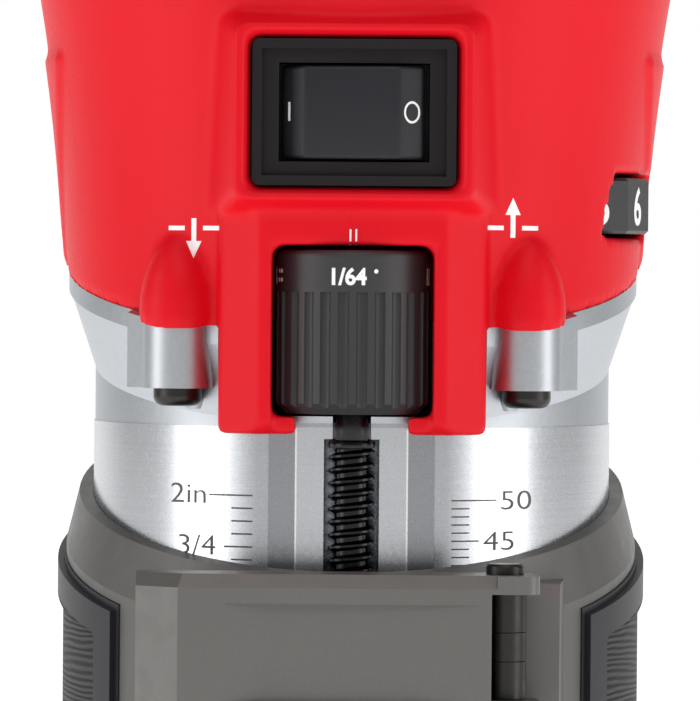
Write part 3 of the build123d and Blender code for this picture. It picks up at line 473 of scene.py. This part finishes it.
@dataclass(frozen=True)
class RibbedGrip:
    """Rubber with a smooth border and a finely ribbed middle panel."""

    name: str = "ribbed_grip_rubber"
    colour: tuple[int, int, int] = (37, 36, 40)
    panel_bottom_mm: float = 57.5
    panel_top_mm: float = 85.0
    panel_from_deg: float = 59.6
    panel_to_deg: float = 142.4
    slope: float = 0.275
    rib_per_mm: float = 1.25
    wander_per_m: tuple[float, float, float] = (40.0, 40.0, 160.0)
    wander: float = 22.0
    rib_mm: float = 0.22

    def make(self) -> bpy.types.Material:
        """The finished material."""
        paint = Paint(self.name)
        z, y, x = paint.axis("Z"), paint.axis("Y"), paint.axis("X")
        level = z - y * self.slope
        panel = z.above(self.panel_bottom_mm, 0.4) * level.below(self.panel_top_mm, 0.4)
        angle = paint.math("ARCTAN2", x.size(), 0.0 - y) * (180.0 / math.pi)
        sides = angle.above(self.panel_from_deg, 0.5)
        panel = panel * sides * angle.below(self.panel_to_deg, 0.5)
        wander = paint.noise(self.wander_per_m, 3.0)
        phase = z * self.rib_per_mm * math.tau + wander * self.wander
        ribs = paint.math("SINE", phase) * 0.5 + 0.5
        grain = paint.noise(2400.0, 2.0)
        base = linear(*self.colour)
        # Painted shade: the troughs between the ribs on the panel are coloured darker.
        paint.set(
            Base_Color=paint.blend(panel * (1.0 - ribs) * 0.7, base, scaled(base, 0.6)),
            Roughness=paint.ramp_between(panel, 0.0, 1.0, 0.46, 0.62) + (grain - 0.5) * 0.12,
        )
        paint.bump(ribs * panel + grain * 0.1, 0.7, self.rib_mm)
        return paint.material


class Finish(Enum):
    """Every finish on the object."""

    RED = Moulded(
        "red_housing", (221, 12, 30), roughness=0.44, grain_mm=0.010, drift=0.05, specular=0.16
    )
    BARREL = TurnedBarrel()
    PAINT = SparklePaint()
    GRIP = RibbedGrip()
    BLACK = Moulded("black_housing_plastic", (34, 33, 35), roughness=0.45)
    BOOT = Moulded("boot_rubber", (24, 20, 22), roughness=0.55, specular=0.25)
    ROCKER = Moulded(
        "rocker_plastic", (36, 35, 40), roughness=0.42, grain_mm=0.008, specular=0.3
    )
    KNOB = Moulded("knob_rubber", (46, 45, 47), roughness=0.5)
    WHITE = Moulded("white_ink", (246, 245, 244), roughness=0.5, grain_mm=0.004, drift=0.01)
    ENGRAVED = Moulded("engraved_mark", (92, 84, 82), roughness=0.6, grain_mm=0.004)
    BLACK_STEEL = Metal("black_oxide_steel", (62, 61, 60), roughness=0.36)
    OILED_THREAD = Metal("oiled_black_thread", (52, 51, 52), roughness=0.24)
    STEEL = Metal("ground_steel", (190, 190, 192), roughness=0.28, lines=(200.0, 200.0, 5000.0))
    BRIGHT = Metal("polished_steel", (214, 214, 216), roughness=0.14)
    LAMINATION = Metal(
        "lamination_steel", (120, 120, 124), roughness=0.45, lines=(40.0, 40.0, 4000.0)
    )
    COPPER = Metal(
        "enamelled_copper", (196, 112, 66), roughness=0.34, lines=(300.0, 300.0, 2600.0)
    )
    BRASS = Metal("drawn_brass", (205, 170, 98), roughness=0.3)
    CARBON = Moulded("brush_carbon", (42, 42, 43), roughness=0.6)
    BOARD = Moulded("circuit_board", (22, 92, 52), roughness=0.35)


_MADE: dict[Finish, bpy.types.Material] = {}


def finish(kind: Finish) -> bpy.types.Material:
    """The material of a finish, made once."""
    if kind not in _MADE:
        _MADE[kind] = kind.value.make()
    return _MADE[kind]


# ---- bench tools --------------------------------------------------------------------------


def clear_selection() -> None:
    """Leaves edit mode and deselects everything."""
    if bpy.context.object and bpy.context.object.mode != "OBJECT":
        bpy.ops.object.mode_set(mode="OBJECT")
    bpy.ops.object.select_all(action="DESELECT")


def hold(*objects: bpy.types.Object) -> bpy.types.Object:
    """Selects only these objects, with the first one active.

    Args:
        *objects: what to select.

    Returns:
        The first object.
    """
    clear_selection()
    for item in objects:
        item.select_set(True)
    bpy.context.view_layer.objects.active = objects[0]
    return objects[0]


def edit_all(obj: bpy.types.Object) -> None:
    """Opens an object in edit mode with all of its mesh selected."""
    hold(obj)
    bpy.ops.object.mode_set(mode="EDIT")
    bpy.ops.mesh.select_all(action="SELECT")


def settle(obj: bpy.types.Object) -> bpy.types.Object:
    """Applies an object's place, turn and scale to its mesh."""
    hold(obj)
    bpy.ops.object.transform_apply(location=True, rotation=True, scale=True)
    return obj


def add_modifier(obj: bpy.types.Object, kind: str, **settings: object) -> None:
    """Adds a modifier and applies it at once.

    Args:
        obj: the piece.
        kind: the modifier's type.
        **settings: its attributes.
    """
    hold(obj)
    modifier = obj.modifiers.new(kind.lower(), kind)
    for key, value in settings.items():
        setattr(modifier, key, value)
    bpy.ops.object.modifier_apply(modifier=modifier.name)


def join(objects: Sequence[bpy.types.Object], name: str) -> bpy.types.Object:
    """Joins objects into one.

    Args:
        objects: what to join.
        name: the name of the result.

    Returns:
        The joined object.
    """
    first = hold(*objects)
    if len(objects) > 1:
        bpy.ops.object.join()
    first.name = name
    first.data.name = name
    return first


def dress(obj: bpy.types.Object, kind: Finish, smooth_deg: float = 35.0) -> bpy.types.Object:
    """Gives a piece its finish, shades it smooth by angle and reports it.

    Args:
        obj: the piece.
        kind: its finish.
        smooth_deg: sharpest angle that is still shaded smooth.

    Returns:
        The piece.
    """
    obj.data.materials.clear()
    obj.data.materials.append(finish(kind))
    hold(obj)
    bpy.ops.object.shade_smooth_by_angle(angle=math.radians(smooth_deg))
    LOG.info("%s: %s, %d faces", obj.name, kind.value.name, len(obj.data.polygons))
    return obj


def bar(width: float, height: float, x: float, z: float) -> bpy.types.Object:
    """Flat upright rectangle.

    Args:
        width: along X, in millimetres.
        height: along Z, in millimetres.
        x: its middle, in millimetres.
        z: its middle, in millimetres.

    Returns:
        The rectangle.
    """
    clear_selection()
    bpy.ops.mesh.primitive_grid_add(
        x_subdivisions=6,
        y_subdivisions=2,
        size=1.0,
        location=(x * MM, 0, z * MM),
        rotation=UPRIGHT,
    )
    obj = bpy.context.object
    obj.scale = (width * MM, height * MM, 1)
    return settle(obj)


def disc(radius: float, x: float, z: float, steps: int) -> bpy.types.Object:
    """Flat upright disc.

    Args:
        radius: in millimetres.
        x: its middle, in millimetres.
        z: its middle, in millimetres.
        steps: corners round its edge.

    Returns:
        The disc.
    """
    clear_selection()
    bpy.ops.mesh.primitive_circle_add(
        vertices=steps,
        radius=radius * MM,
        fill_type="NGON",
        location=(x * MM, 0, z * MM),
        rotation=UPRIGHT,
    )
    return settle(bpy.context.object)


def hoop(outer: float, inner: float, x: float, z: float) -> bpy.types.Object:
    """Flat upright ring.

    Args:
        outer: outer radius in millimetres.
        inner: inner radius in millimetres.
        x: its middle, in millimetres.
        z: its middle, in millimetres.

    Returns:
        The ring.
    """
    obj = disc(outer, x, z, 32)
    edit_all(obj)
    bpy.ops.mesh.inset(thickness=(outer - inner) * MM)
    bpy.ops.mesh.delete(type="FACE")
    bpy.ops.object.mode_set(mode="OBJECT")
    return obj


def arrow_head(width: float, height: float, x: float, z: float, up: bool) -> bpy.types.Object:
    """Flat upright triangle.

    Args:
        width: along X, in millimetres.
        height: along Z, in millimetres.
        x: its middle, in millimetres.
        z: its middle, in millimetres.
        up: whether it points up.

    Returns:
        The triangle.
    """
    clear_selection()
    bpy.ops.mesh.primitive_circle_add(
        vertices=3,
        radius=1.0,
        fill_type="NGON",
        location=(x * MM, 0, z * MM),
        rotation=UPRIGHT,
    )
    obj = bpy.context.object
    # A triangle in a circle of radius 1 is 1.732 wide and 1.5 high.
    obj.scale = (width * MM / 1.732, height * MM / 1.5 * (1 if up else -1), 1)
    return settle(obj)


def lettering(
    text: str, height: float, x: float, z: float, stretch: float = 1.0, bold: float = 0.0
) -> bpy.types.Object:
    """Flat upright characters.

    Args:
        text: digits or plain units.
        height: height of a digit in millimetres.
        x: left edge in millimetres.
        z: base line in millimetres.
        stretch: width over normal width.
        bold: how far the outlines grow, in millimetres.

    Returns:
        A mesh object.
    """
    clear_selection()
    bpy.ops.object.text_add(location=(0, 0, 0), rotation=UPRIGHT)
    obj = bpy.context.object
    obj.data.body = text
    # A digit is 0.7 of the text's size.
    obj.data.size = height * MM / 0.7
    obj.data.offset = bold * MM
    obj.data.resolution_u = 4
    obj.scale = (stretch, 1, 1)
    hold(obj)
    bpy.ops.object.convert(target="MESH")
    obj = settle(bpy.context.object)
    low = min(v.co.x for v in obj.data.vertices)
    obj.location = (x * MM - low, 0, z * MM)
    return settle(obj)


def refine(obj: bpy.types.Object) -> None:
    """Splits long edges, so that a flat mark can follow a curved surface."""
    mesh = bmesh.new()
    mesh.from_mesh(obj.data)
    bmesh.ops.triangulate(mesh, faces=mesh.faces)
    for _ in range(6):
        long_edges = [e for e in mesh.edges if e.calc_length() > MARK_EDGE_MM * MM]
        if not long_edges:
            break
        bmesh.ops.subdivide_edges(mesh, edges=long_edges, cuts=1)
        bmesh.ops.triangulate(mesh, faces=mesh.faces)
    mesh.to_mesh(obj.data)
    mesh.free()


def thicken(obj: bpy.types.Object) -> bpy.types.Object:
    """Gives a laid mark its thickness."""
    add_modifier(obj, "SOLIDIFY", thickness=MARK_MM * MM, offset=0.0, use_even_offset=False)
    return obj


def print_on(obj: bpy.types.Object, rule: Rule) -> bpy.types.Object:
    """Lays a flat mark on a surface and gives it thickness.

    Args:
        obj: the flat mark.
        rule: gives the final point of a flat one.

    Returns:
        The mark.
    """
    refine(obj)
    for vertex in obj.data.vertices:
        vertex.co = rule(vertex.co.copy())
    return thicken(obj)


def round_knob(radius: float, y: float) -> Rule:
    """Rule that wraps X round an upright cylinder from its front, keeping arc length.

    Args:
        radius: the cylinder's radius in millimetres.
        y: its axis, in millimetres.

    Returns:
        The rule.
    """

    def rule(p: Vector) -> Vector:
        """One point."""
        a = p.x / (radius * MM)
        r = radius * MM
        return Vector((r * math.sin(a), y * MM - r * math.cos(a), p.z))

    return rule


def straight_back(radius: float) -> Rule:
    """Rule that pushes a flat mark straight back on an upright cylinder about the axis.

    Args:
        radius: the cylinder's radius in millimetres.

    Returns:
        The rule.
    """

    def rule(p: Vector) -> Vector:
        """One point."""
        r = radius * MM
        return Vector((p.x, -math.sqrt(max(r * r - p.x * p.x, 0.0)), p.z))

    return rule


def drape(obj: bpy.types.Object, targets: Sequence[bpy.types.Object]) -> bpy.types.Object:
    """Projects a flat mark along +Y on pieces, and gives it thickness.

    Args:
        obj: the flat mark.
        targets: the pieces that it may land on.

    Returns:
        The mark.
    """
    lift, start, fallback = 0.03 * MM, -0.2, -0.038
    refine(obj)
    for vertex in obj.data.vertices:
        origin = Vector((vertex.co.x, start, vertex.co.z))
        hits = [target.ray_cast(origin, Vector((0, 1, 0))) for target in targets]
        depths = [place.y for found, place, _, _ in hits if found]
        vertex.co.y = min(depths, default=fallback) - lift
    return thicken(obj)


# ---- sub-assemblies -----------------------------------------------------------------------


@dataclass
class Housing:
    """The red clamshell, remeshed whole so that its edges are soft as moulded, then parted."""

    voxel_mm: float = 0.59
    smooth_turns: int = 4
    quick_voxel: float = 1.25
    part_line_mm: float = 0.004
    seam_mm: float = 125.5
    seam_slope: float = 0.22
    seam_reach: float = 0.5
    legs_half_width: float = 17.2
    legs_back: float = -28.0
    icon_x: float = 19.6
    down_z: float = 130.4
    up_z: float = 130.7
    pointer_z: float = 129.4
    made: Nodes = field(default_factory=dict)

    def build(self, nodes: Nodes) -> None:
        """Builds both halves from the CAD halves.

        Args:
            nodes: the CAD nodes by name.
        """
        copies = [self.copied(nodes[f"housing_{side}"]) for side in ("left", "right")]
        whole = join(copies, "moulded_whole")
        self.soften(whole)
        for side, sign in (("left", -1), ("right", 1)):
            half = whole.copy()
            half.data = whole.data.copy()
            half.name = f"moulded_{side}"
            half.data.name = half.name
            bpy.context.collection.objects.link(half)
            self.part(half, sign)
            dress(half, Finish.RED, 60.0)
            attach(half, "motor")
            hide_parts(f"housing_{side}")
            self.made[side] = half
        bpy.data.objects.remove(whole, do_unlink=True)

    def copied(self, source: bpy.types.Object) -> bpy.types.Object:
        """A free copy of a CAD half with its triangles merged.

        Args:
            source: the CAD node.

        Returns:
            The copy, at the origin.
        """
        clear_selection()
        copy = source.copy()
        copy.data = source.data.copy()
        bpy.context.collection.objects.link(copy)
        copy.parent = None
        copy.matrix_world = Matrix.Identity(4)
        edit_all(copy)
        bpy.ops.mesh.remove_doubles(threshold=0.002 * MM)
        bpy.ops.object.mode_set(mode="OBJECT")
        return copy

    def soften(self, obj: bpy.types.Object) -> None:
        """Remeshes and relaxes the whole housing, and draws its slanted rim clean.

        Args:
            obj: both halves in one mesh.
        """
        voxel = self.voxel_mm * 1.0
        add_modifier(obj, "REMESH", mode="VOXEL", voxel_size=voxel * MM, adaptivity=0.0)
        add_modifier(obj, "SMOOTH", factor=0.5, iterations=self.smooth_turns)
        for vertex in obj.data.vertices:
            x, y, z = (c / MM for c in vertex.co)
            rim = self.seam_mm + self.seam_slope * y
            beside_legs = abs(x) > self.legs_half_width or y > self.legs_back
            if beside_legs and abs(z - rim) < self.seam_reach:
                vertex.co.z = rim * MM

    def part(self, obj: bpy.types.Object, sign: int) -> None:
        """Keeps one side of the whole housing and closes the cut.

        Args:
            obj: a copy of the whole.
            sign: -1 keeps the left side and 1 the right.
        """
        edit_all(obj)
        bpy.ops.mesh.bisect(
            plane_co=(sign * self.part_line_mm * MM, 0, 0),
            plane_no=(-sign, 0, 0),
            use_fill=True,
            clear_outer=True,
        )
        bpy.ops.object.mode_set(mode="OBJECT")

    def marks(self) -> None:
        """Prints the two direction icons and the pointer in white."""
        halves = list(self.made.values())
        for x, z, way in ((-self.icon_x, self.down_z, -1), (self.icon_x, self.up_z, 1)):
            up = way > 0
            pieces = [bar(2.0, 0.55, x - 2.15, z), bar(2.0, 0.55, x + 2.15, z)]
            pieces.append(bar(0.6, 3.6, x, z + way * 0.6))
            pieces.append(arrow_head(1.9, 2.1, x, z + way * 2.3, up))
            mark = drape(join(pieces, f"arrow_{'up' if up else 'down'}"), halves)
            dress(mark, Finish.WHITE)
            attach(mark, "motor")
        lines = [bar(0.22, 1.9, x, self.pointer_z) for x in (-0.35, 0.35)]
        pointer = drape(join(lines, "depth_pointer"), halves)
        dress(pointer, Finish.WHITE)
        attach(pointer, "motor")


@dataclass
class DepthScrew:
    """Threaded rod with a true helical thread, and the knob's printed scale."""

    y: float = -32.0
    root: float = 2.05
    crest: float = 2.85
    neck: float = 2.3
    pitch: float = 1.5875
    bottom: float = 29.3
    top: float = 104.4
    facets: int = 40
    knob_r: float = 9.4
    knob_bottom: float = 107.8
    knob_top: float = 127.8
    labels: tuple[str, ...] = ("1/64", "1/32", "3/64", "1/16")

    def build(self) -> None:
        """Builds the rod by turning one thread profile up a helix."""
        clear_selection()
        bpy.ops.mesh.primitive_plane_add(size=1.0)
        rod = bpy.context.object
        self.profile(rod)
        add_modifier(
            rod,
            "SCREW",
            axis="Z",
            angle=math.tau,
            screw_offset=self.pitch * MM,
            iterations=int((self.top - self.bottom) / self.pitch) - 1,
            steps=self.facets,
            render_steps=self.facets,
            use_merge_vertices=True,
            merge_threshold=0.001 * MM,
            use_normal_calculate=True,
        )
        core = self.pin(self.root - 0.02, self.bottom - 0.3, self.top)
        collar = self.pin(self.crest, self.top - 0.9, self.top)
        neck = self.pin(self.neck, self.top - 0.1, self.knob_bottom + 0.4)
        rod.location = (0, self.y * MM, self.bottom * MM)
        settle(rod)
        thread = join([rod, core, collar, neck], "helical_depth_screw")
        dress(thread, Finish.OILED_THREAD, 40.0)
        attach(thread, "depth_screw")
        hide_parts("depth_screw")

    def profile(self, rod: bpy.types.Object) -> None:
        """Puts one pitch of the thread's outline in an object.

        Args:
            rod: the object that takes it.
        """
        outline = (
            (self.root, 0.0),
            (self.root, 0.25),
            (self.crest, 0.66),
            (self.crest, 0.93),
            (self.root, 1.34),
            (self.root, self.pitch),
        )
        mesh = bmesh.new()
        corners = [mesh.verts.new((r * MM, 0, z * MM)) for r, z in outline]
        for a, b in zip(corners, corners[1:]):
            mesh.edges.new((a, b))
        mesh.to_mesh(rod.data)
        mesh.free()

    def pin(self, r: float, z0: float, z1: float) -> bpy.types.Object:
        """Cylinder on the screw's axis with bevelled ends.

        Args:
            r: its radius.
            z0: its bottom.
            z1: its top.

        Returns:
            The cylinder.
        """
        clear_selection()
        bpy.ops.mesh.primitive_cylinder_add(
            vertices=self.facets,
            radius=r * MM,
            depth=(z1 - z0) * MM,
            location=(0, self.y * MM, (z0 + z1) / 2 * MM),
        )
        obj = settle(bpy.context.object)
        add_modifier(obj, "BEVEL", width=0.2 * MM, segments=2, limit_method="ANGLE")
        return obj

    def scale_band(self) -> None:
        """Prints the fractions and their dots round the knob's smooth band."""
        pieces = []
        quarter = math.tau * self.knob_r / 4
        for i, text in enumerate(self.labels):
            x = i * quarter
            pieces.append(lettering(text, 1.95, x - 2.6, self.knob_top - 4.15, 0.95, 0.09))
            for k in range(i + 1):
                column, row = divmod(k, 2)
                dot_z = self.knob_top - 2.55 - row * 1.1
                pieces.append(disc(0.27, x + 2.85 + column * 0.85, dot_z, 12))
        band = join(pieces, "knob_scale")
        print_on(band, round_knob(self.knob_r, self.y))
        dress(band, Finish.WHITE)
        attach(band, "depth_screw")


@dataclass
class BarrelScale:
    """Engraved depth scales on the barrel, in millimetres and in inches."""

    radius: float = 33.0
    top_z: float = 97.5337
    inch_edge: float = -12.15
    inch_step: float = 1.5875
    inch_low: float = 33.0
    inch_labels: tuple[str, ...] = ("2in", "3/4", "1/2", "1/4", "1in", "3/4", "1/2", "1/4")
    mm_edge: float = 12.35
    mm_drop: float = 0.45
    mm_low: float = 35.0
    mm_top_label: int = 50

    def build(self) -> None:
        """Lays lines and digits on both sides of the screw."""
        pieces = self.inch_lines() + self.mm_lines() + self.digits()
        scale = join(pieces, "depth_scale")
        print_on(scale, straight_back(self.radius))
        dress(scale, Finish.ENGRAVED)
        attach(scale, "motor")

    def inch_lines(self) -> list[bpy.types.Object]:
        """Lines each 1/16 inch, longer at quarters and longest at inches."""
        lines = []
        for i in range(40):
            z = self.top_z - i * self.inch_step
            if z < self.inch_low:
                break
            length = 5.4 if i % 16 == 0 else 3.5 if i % 4 == 0 else 2.6
            lines.append(bar(length, 0.2, self.inch_edge - length / 2, z))
        return lines

    def mm_lines(self) -> list[bpy.types.Object]:
        """Lines each millimetre, longer at fives and longest at tens."""
        lines = []
        for i in range(59):
            z = self.top_z - self.mm_drop - i
            if z < self.mm_low:
                break
            length = 5.6 if i % 10 == 0 else 3.4 if i % 5 == 0 else 2.2
            lines.append(bar(length, 0.18, self.mm_edge + length / 2, z))
        return lines

    def digits(self) -> list[bpy.types.Object]:
        """Labels of both scales."""
        marks = []
        for i, text in enumerate(self.inch_labels):
            x = self.inch_edge - (10.2 if i % 4 == 0 else 9.2)
            z = self.top_z - i * 4 * self.inch_step - 1.1
            marks.append(lettering(text, 2.5, x, z, 1.1, -0.03))
        for i in range(12):
            x = self.mm_edge + (6.2 if i % 2 == 0 else 4.0)
            z = self.top_z - self.mm_drop - i * 5.0 - 1.2
            marks.append(lettering(str(self.mm_top_label - 5 * i), 2.4, x, z, 1.22, -0.03))
        return marks


@dataclass
class Controls:
    """The switch rocker, and the marks on it and on the speed dial."""

    rocker_z: float = 144.5
    rocker_pivot_y: float = -37.5
    rocker_tilt_deg: float = -5.0
    rocker_half_width: float = 8.8
    rocker_half_height: float = 5.65
    rocker_flat: float = 5.7
    rocker_depths: tuple[float, float, float] = (-36.2, -39.6, -41.6)
    on_x: float = -7.9
    off_x: float = 7.0
    off_squeeze: float = 0.72
    dial_x: float = 22.5
    dial_y: float = -6.0
    dial_z: float = 130.2
    apothem: float = 14.5
    dial_lift: float = 0.02
    facet_step_deg: float = 30.0
    front_digit: int = 5
    front_digit_deg: float = 38.0

    def build(self) -> None:
        """Builds the rocker, prints I and O on it, and prints the digits round the dial."""
        rocker = self.rocker()
        on_mark = join([bar(0.24, 2.3, self.on_x, self.rocker_z + 0.1)], "on_mark")
        off_mark = join([hoop(1.35, 1.06, 0.0, self.rocker_z + 0.05)], "off_mark")
        for vertex in off_mark.data.vertices:
            vertex.co.x = vertex.co.x * self.off_squeeze + self.off_x * MM
        for mark in (on_mark, off_mark):
            dress(drape(mark, [rocker]), Finish.WHITE)
            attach(mark, "switch_rocker")
        pieces = []
        for i in range(1, 7):
            digit = lettering(str(i), 4.6, -1.6, self.dial_z + 1.2, 0.85, 0.12)
            turn = self.facet_step_deg * (i - self.front_digit)
            print_on(digit, self.facet(self.front_digit_deg + turn))
            pieces.append(digit)
        digits = join(pieces, "dial_digits")
        dress(digits, Finish.WHITE)
        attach(digits, "speed_dial")

    def rocker(self) -> bpy.types.Object:
        """Rocker with a flat middle, sloping ends and soft edges, tilted to the off side.

        Returns:
            The rocker.
        """
        back, side, front = self.rocker_depths
        wide = self.rocker_half_width
        right = ((self.rocker_flat, front), (wide - 0.15, side), (wide - 0.5, back))
        profile = tuple((-x, y) for x, y in reversed(right)) + right
        low_z = self.rocker_z - self.rocker_half_height
        clear_selection()
        bpy.ops.mesh.primitive_circle_add(vertices=len(profile), radius=1.0, fill_type="NGON")
        obj = bpy.context.object
        for vertex, (x, y) in zip(obj.data.vertices, profile):
            vertex.co = Vector((x * MM, y * MM, low_z * MM))
        edit_all(obj)
        bpy.ops.mesh.extrude_region_move(
            TRANSFORM_OT_translate={"value": (0, 0, 2 * self.rocker_half_height * MM)}
        )
        bpy.ops.mesh.select_all(action="SELECT")
        bpy.ops.mesh.normals_make_consistent(inside=False)
        bpy.ops.object.mode_set(mode="OBJECT")
        add_modifier(
            obj,
            "BEVEL",
            width=0.5 * MM,
            segments=4,
            limit_method="ANGLE",
            angle_limit=math.radians(20),
        )
        pivot = Matrix.Translation((0, self.rocker_pivot_y * MM, 0))
        turn = Matrix.Rotation(math.radians(self.rocker_tilt_deg), 4, "Z")
        obj.data.transform(pivot @ turn @ pivot.inverted())
        obj.name = "bevelled_rocker"
        dress(obj, Finish.ROCKER, 50.0)
        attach(obj, "switch_rocker")
        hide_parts("switch_rocker")
        return obj

    def facet(self, degrees: float) -> Rule:
        """Rule that puts a flat mark on one facet of the dial.

        Args:
            degrees: the facet's angle from -Y.

        Returns:
            The rule.
        """
        a = math.radians(degrees)
        out = Vector((math.sin(a), -math.cos(a), 0))
        along = Vector((math.cos(a), math.sin(a), 0))
        centre = Vector((self.dial_x * MM, self.dial_y * MM, 0))

        def rule(p: Vector) -> Vector:
            """One point."""
            spot = centre + out * (self.apothem + self.dial_lift) * MM + along * p.x
            return Vector((spot.x, spot.y, p.z))

        return rule


NODE_FINISHES: dict[str, Finish] = {
    "motor_barrel": Finish.BARREL,
    "base_casting": Finish.PAINT,
    "clamp_lever": Finish.PAINT,
    "grip_pad_left": Finish.GRIP,
    "grip_pad_right": Finish.GRIP,
    "top_cap": Finish.BLACK,
    "sub_base": Finish.BLACK,
    "cooling_fan": Finish.BLACK,
    "speed_module": Finish.BLACK,
    "switch_body": Finish.BLACK,
    "half_nut": Finish.BLACK,
    "dial_axle": Finish.BLACK,
    "speed_dial": Finish.BLACK,
    "depth_knob": Finish.KNOB,
    "switch_boot": Finish.BOOT,
    "cord_gland": Finish.BOOT,
    "switch_rocker": Finish.ROCKER,
    "cam_bushings": Finish.BLACK_STEEL,
    "draw_bolt": Finish.BLACK_STEEL,
    "stator_core": Finish.LAMINATION,
    "rotor_core": Finish.LAMINATION,
    "field_windings": Finish.COPPER,
    "rotor_windings": Finish.COPPER,
    "commutator": Finish.COPPER,
    "brush_holders": Finish.BRASS,
    "brushes": Finish.CARBON,
    "speed_board": Finish.BOARD,
    "barrel_screws": Finish.BLACK_STEEL,
    "housing_screws": Finish.BLACK_STEEL,
    "cap_screws": Finish.BLACK_STEEL,
    "sub_base_screws": Finish.BLACK_STEEL,
    "lever_pin": Finish.BLACK_STEEL,
}


def dress_nodes(nodes: Nodes) -> None:
    """Gives every CAD node its finish, steel where nothing else is named.

    Args:
        nodes: the CAD nodes by name.
    """
    for name, obj in nodes.items():
        plain = Finish.BRIGHT if "bearing" in name else Finish.STEEL
        kind = NODE_FINISHES.get(name, plain)
        if not obj.material_slots:
            obj.data.materials.append(finish(kind))
        for slot in obj.material_slots:
            slot.material = finish(kind)
        LOG.info("%s: %s", name, kind.value.name)


# ---- studio -------------------------------------------------------------------------------


@dataclass(frozen=True)
class Lamp:
    """One area light aimed at the object's middle, in metres and watts."""

    name: str
    place: tuple[float, float, float]
    size: tuple[float, float]
    watts: float

    def build(self) -> None:
        """Hangs the light."""
        data = bpy.data.lights.new(self.name, "AREA")
        data.shape = "RECTANGLE"
        data.size, data.size_y = self.size
        data.energy = self.watts
        obj = bpy.data.objects.new(self.name, data)
        bpy.context.collection.objects.link(obj)
        obj.location = self.place
        aim = Vector((0, 0, 0.12)) - Vector(self.place)
        obj.rotation_euler = aim.to_track_quat("-Z", "Y").to_euler()


LAMPS = (
    Lamp("key_left", (-0.66, -0.26, 0.20), (0.34, 0.75), 2.0),
    Lamp("key_right", (0.66, -0.26, 0.20), (0.34, 0.75), 2.0),
    Lamp("front_fill", (0.0, -0.95, 1.05), (0.9, 0.5), 2.6),
    Lamp("top", (0.0, -0.1, 1.0), (0.7, 0.7), 2.2),
)


@dataclass
class Studio:
    """Pale floor, soft light and the camera, in metres."""

    distance: float = 0.760
    eye_z: float = 0.126
    lens: float = 304.5
    pitch_deg: float = 0.826
    roll_deg: float = 0.45
    aim_x: float = -0.0003
    floor_size: float = 6.0
    floor_z: float = -0.0002
    floor_glow: float = 0.85
    # Light from the front (0) to the back (1).
    stops: tuple[tuple[float, float], ...] = (
        (0.0, 0.24),
        (0.40, 0.17),
        (0.76, 0.08),
        (0.92, 1.0),
        (1.0, 1.0),
    )

    def build(self) -> None:
        """Builds floor, world, lights and camera."""
        self.floor()
        self.world()
        for lamp in LAMPS:
            lamp.build()
        self.camera()

    def floor(self) -> None:
        """Large pale floor that glows a little."""
        clear_selection()
        bpy.ops.mesh.primitive_plane_add(size=self.floor_size, location=(0, 0, self.floor_z))
        obj = settle(bpy.context.object)
        obj.name = "floor"
        paint = Paint("pale_floor")
        mottle = paint.noise(8.0, 2.0)
        paint.set(
            Base_Color=paint.blend(mottle, (0.9, 0.9, 0.9, 1), (0.93, 0.93, 0.93, 1)),
            Roughness=0.8,
            Emission_Color=(1.0, 1.0, 1.0, 1.0),
            Emission_Strength=self.floor_glow,
        )
        obj.data.materials.append(paint.material)

    def world(self) -> None:
        """White behind the object, grey beside and in front of it."""
        world = bpy.data.worlds.new("studio")
        bpy.context.scene.world = world
        world.use_nodes = True
        tree = world.node_tree
        back = tree.nodes["Background"]
        where = tree.nodes.new("ShaderNodeTexCoord")
        split = tree.nodes.new("ShaderNodeSeparateXYZ")
        ramp = tree.nodes.new("ShaderNodeValToRGB")
        tree.links.new(where.outputs["Generated"], split.inputs["Vector"])
        shift = tree.nodes.new("ShaderNodeMapRange")
        shift.inputs["From Min"].default_value = -1.0
        tree.links.new(split.outputs["Y"], shift.inputs["Value"])
        tree.links.new(shift.outputs["Result"], ramp.inputs["Fac"])
        while len(ramp.color_ramp.elements) < len(self.stops):
            ramp.color_ramp.elements.new(0.5)
        for element, (place, level) in zip(ramp.color_ramp.elements, self.stops):
            element.position = place
            element.color = (level, level, level, 1.0)
        tree.links.new(ramp.outputs["Color"], back.inputs["Color"])
        back.inputs["Strength"].default_value = 1.0

    def camera(self) -> None:
        """Long-lens camera straight in front, a little over the middle."""
        data = bpy.data.cameras.new("camera")
        data.lens = self.lens
        data.sensor_width = 36.0
        data.clip_start, data.clip_end = 0.05, 20.0
        obj = bpy.data.objects.new("camera", data)
        bpy.context.collection.objects.link(obj)
        place = Matrix.Translation((self.aim_x, -self.distance, self.eye_z))
        turn = Matrix.Rotation(math.radians(90 - self.pitch_deg), 4, "X")
        roll = Matrix.Rotation(math.radians(self.roll_deg), 4, "Z")
        obj.matrix_world = place @ turn @ roll
        bpy.context.scene.camera = obj
        bpy.context.scene.view_settings.view_transform = "Standard"


def main() -> None:
    """Builds every sub-assembly in order."""
    logging.basicConfig(level=logging.INFO, format="%(name)s %(message)s")
    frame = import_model()
    nodes = frame["nodes"]
    dress_nodes(nodes)
    housing = Housing()
    housing.build(nodes)
    housing.marks()
    screw = DepthScrew()
    screw.build()
    screw.scale_band()
    BarrelScale().build()
    Controls().build()
    Studio().build()
    clear_selection()


if __name__ == "__main__":
    main()
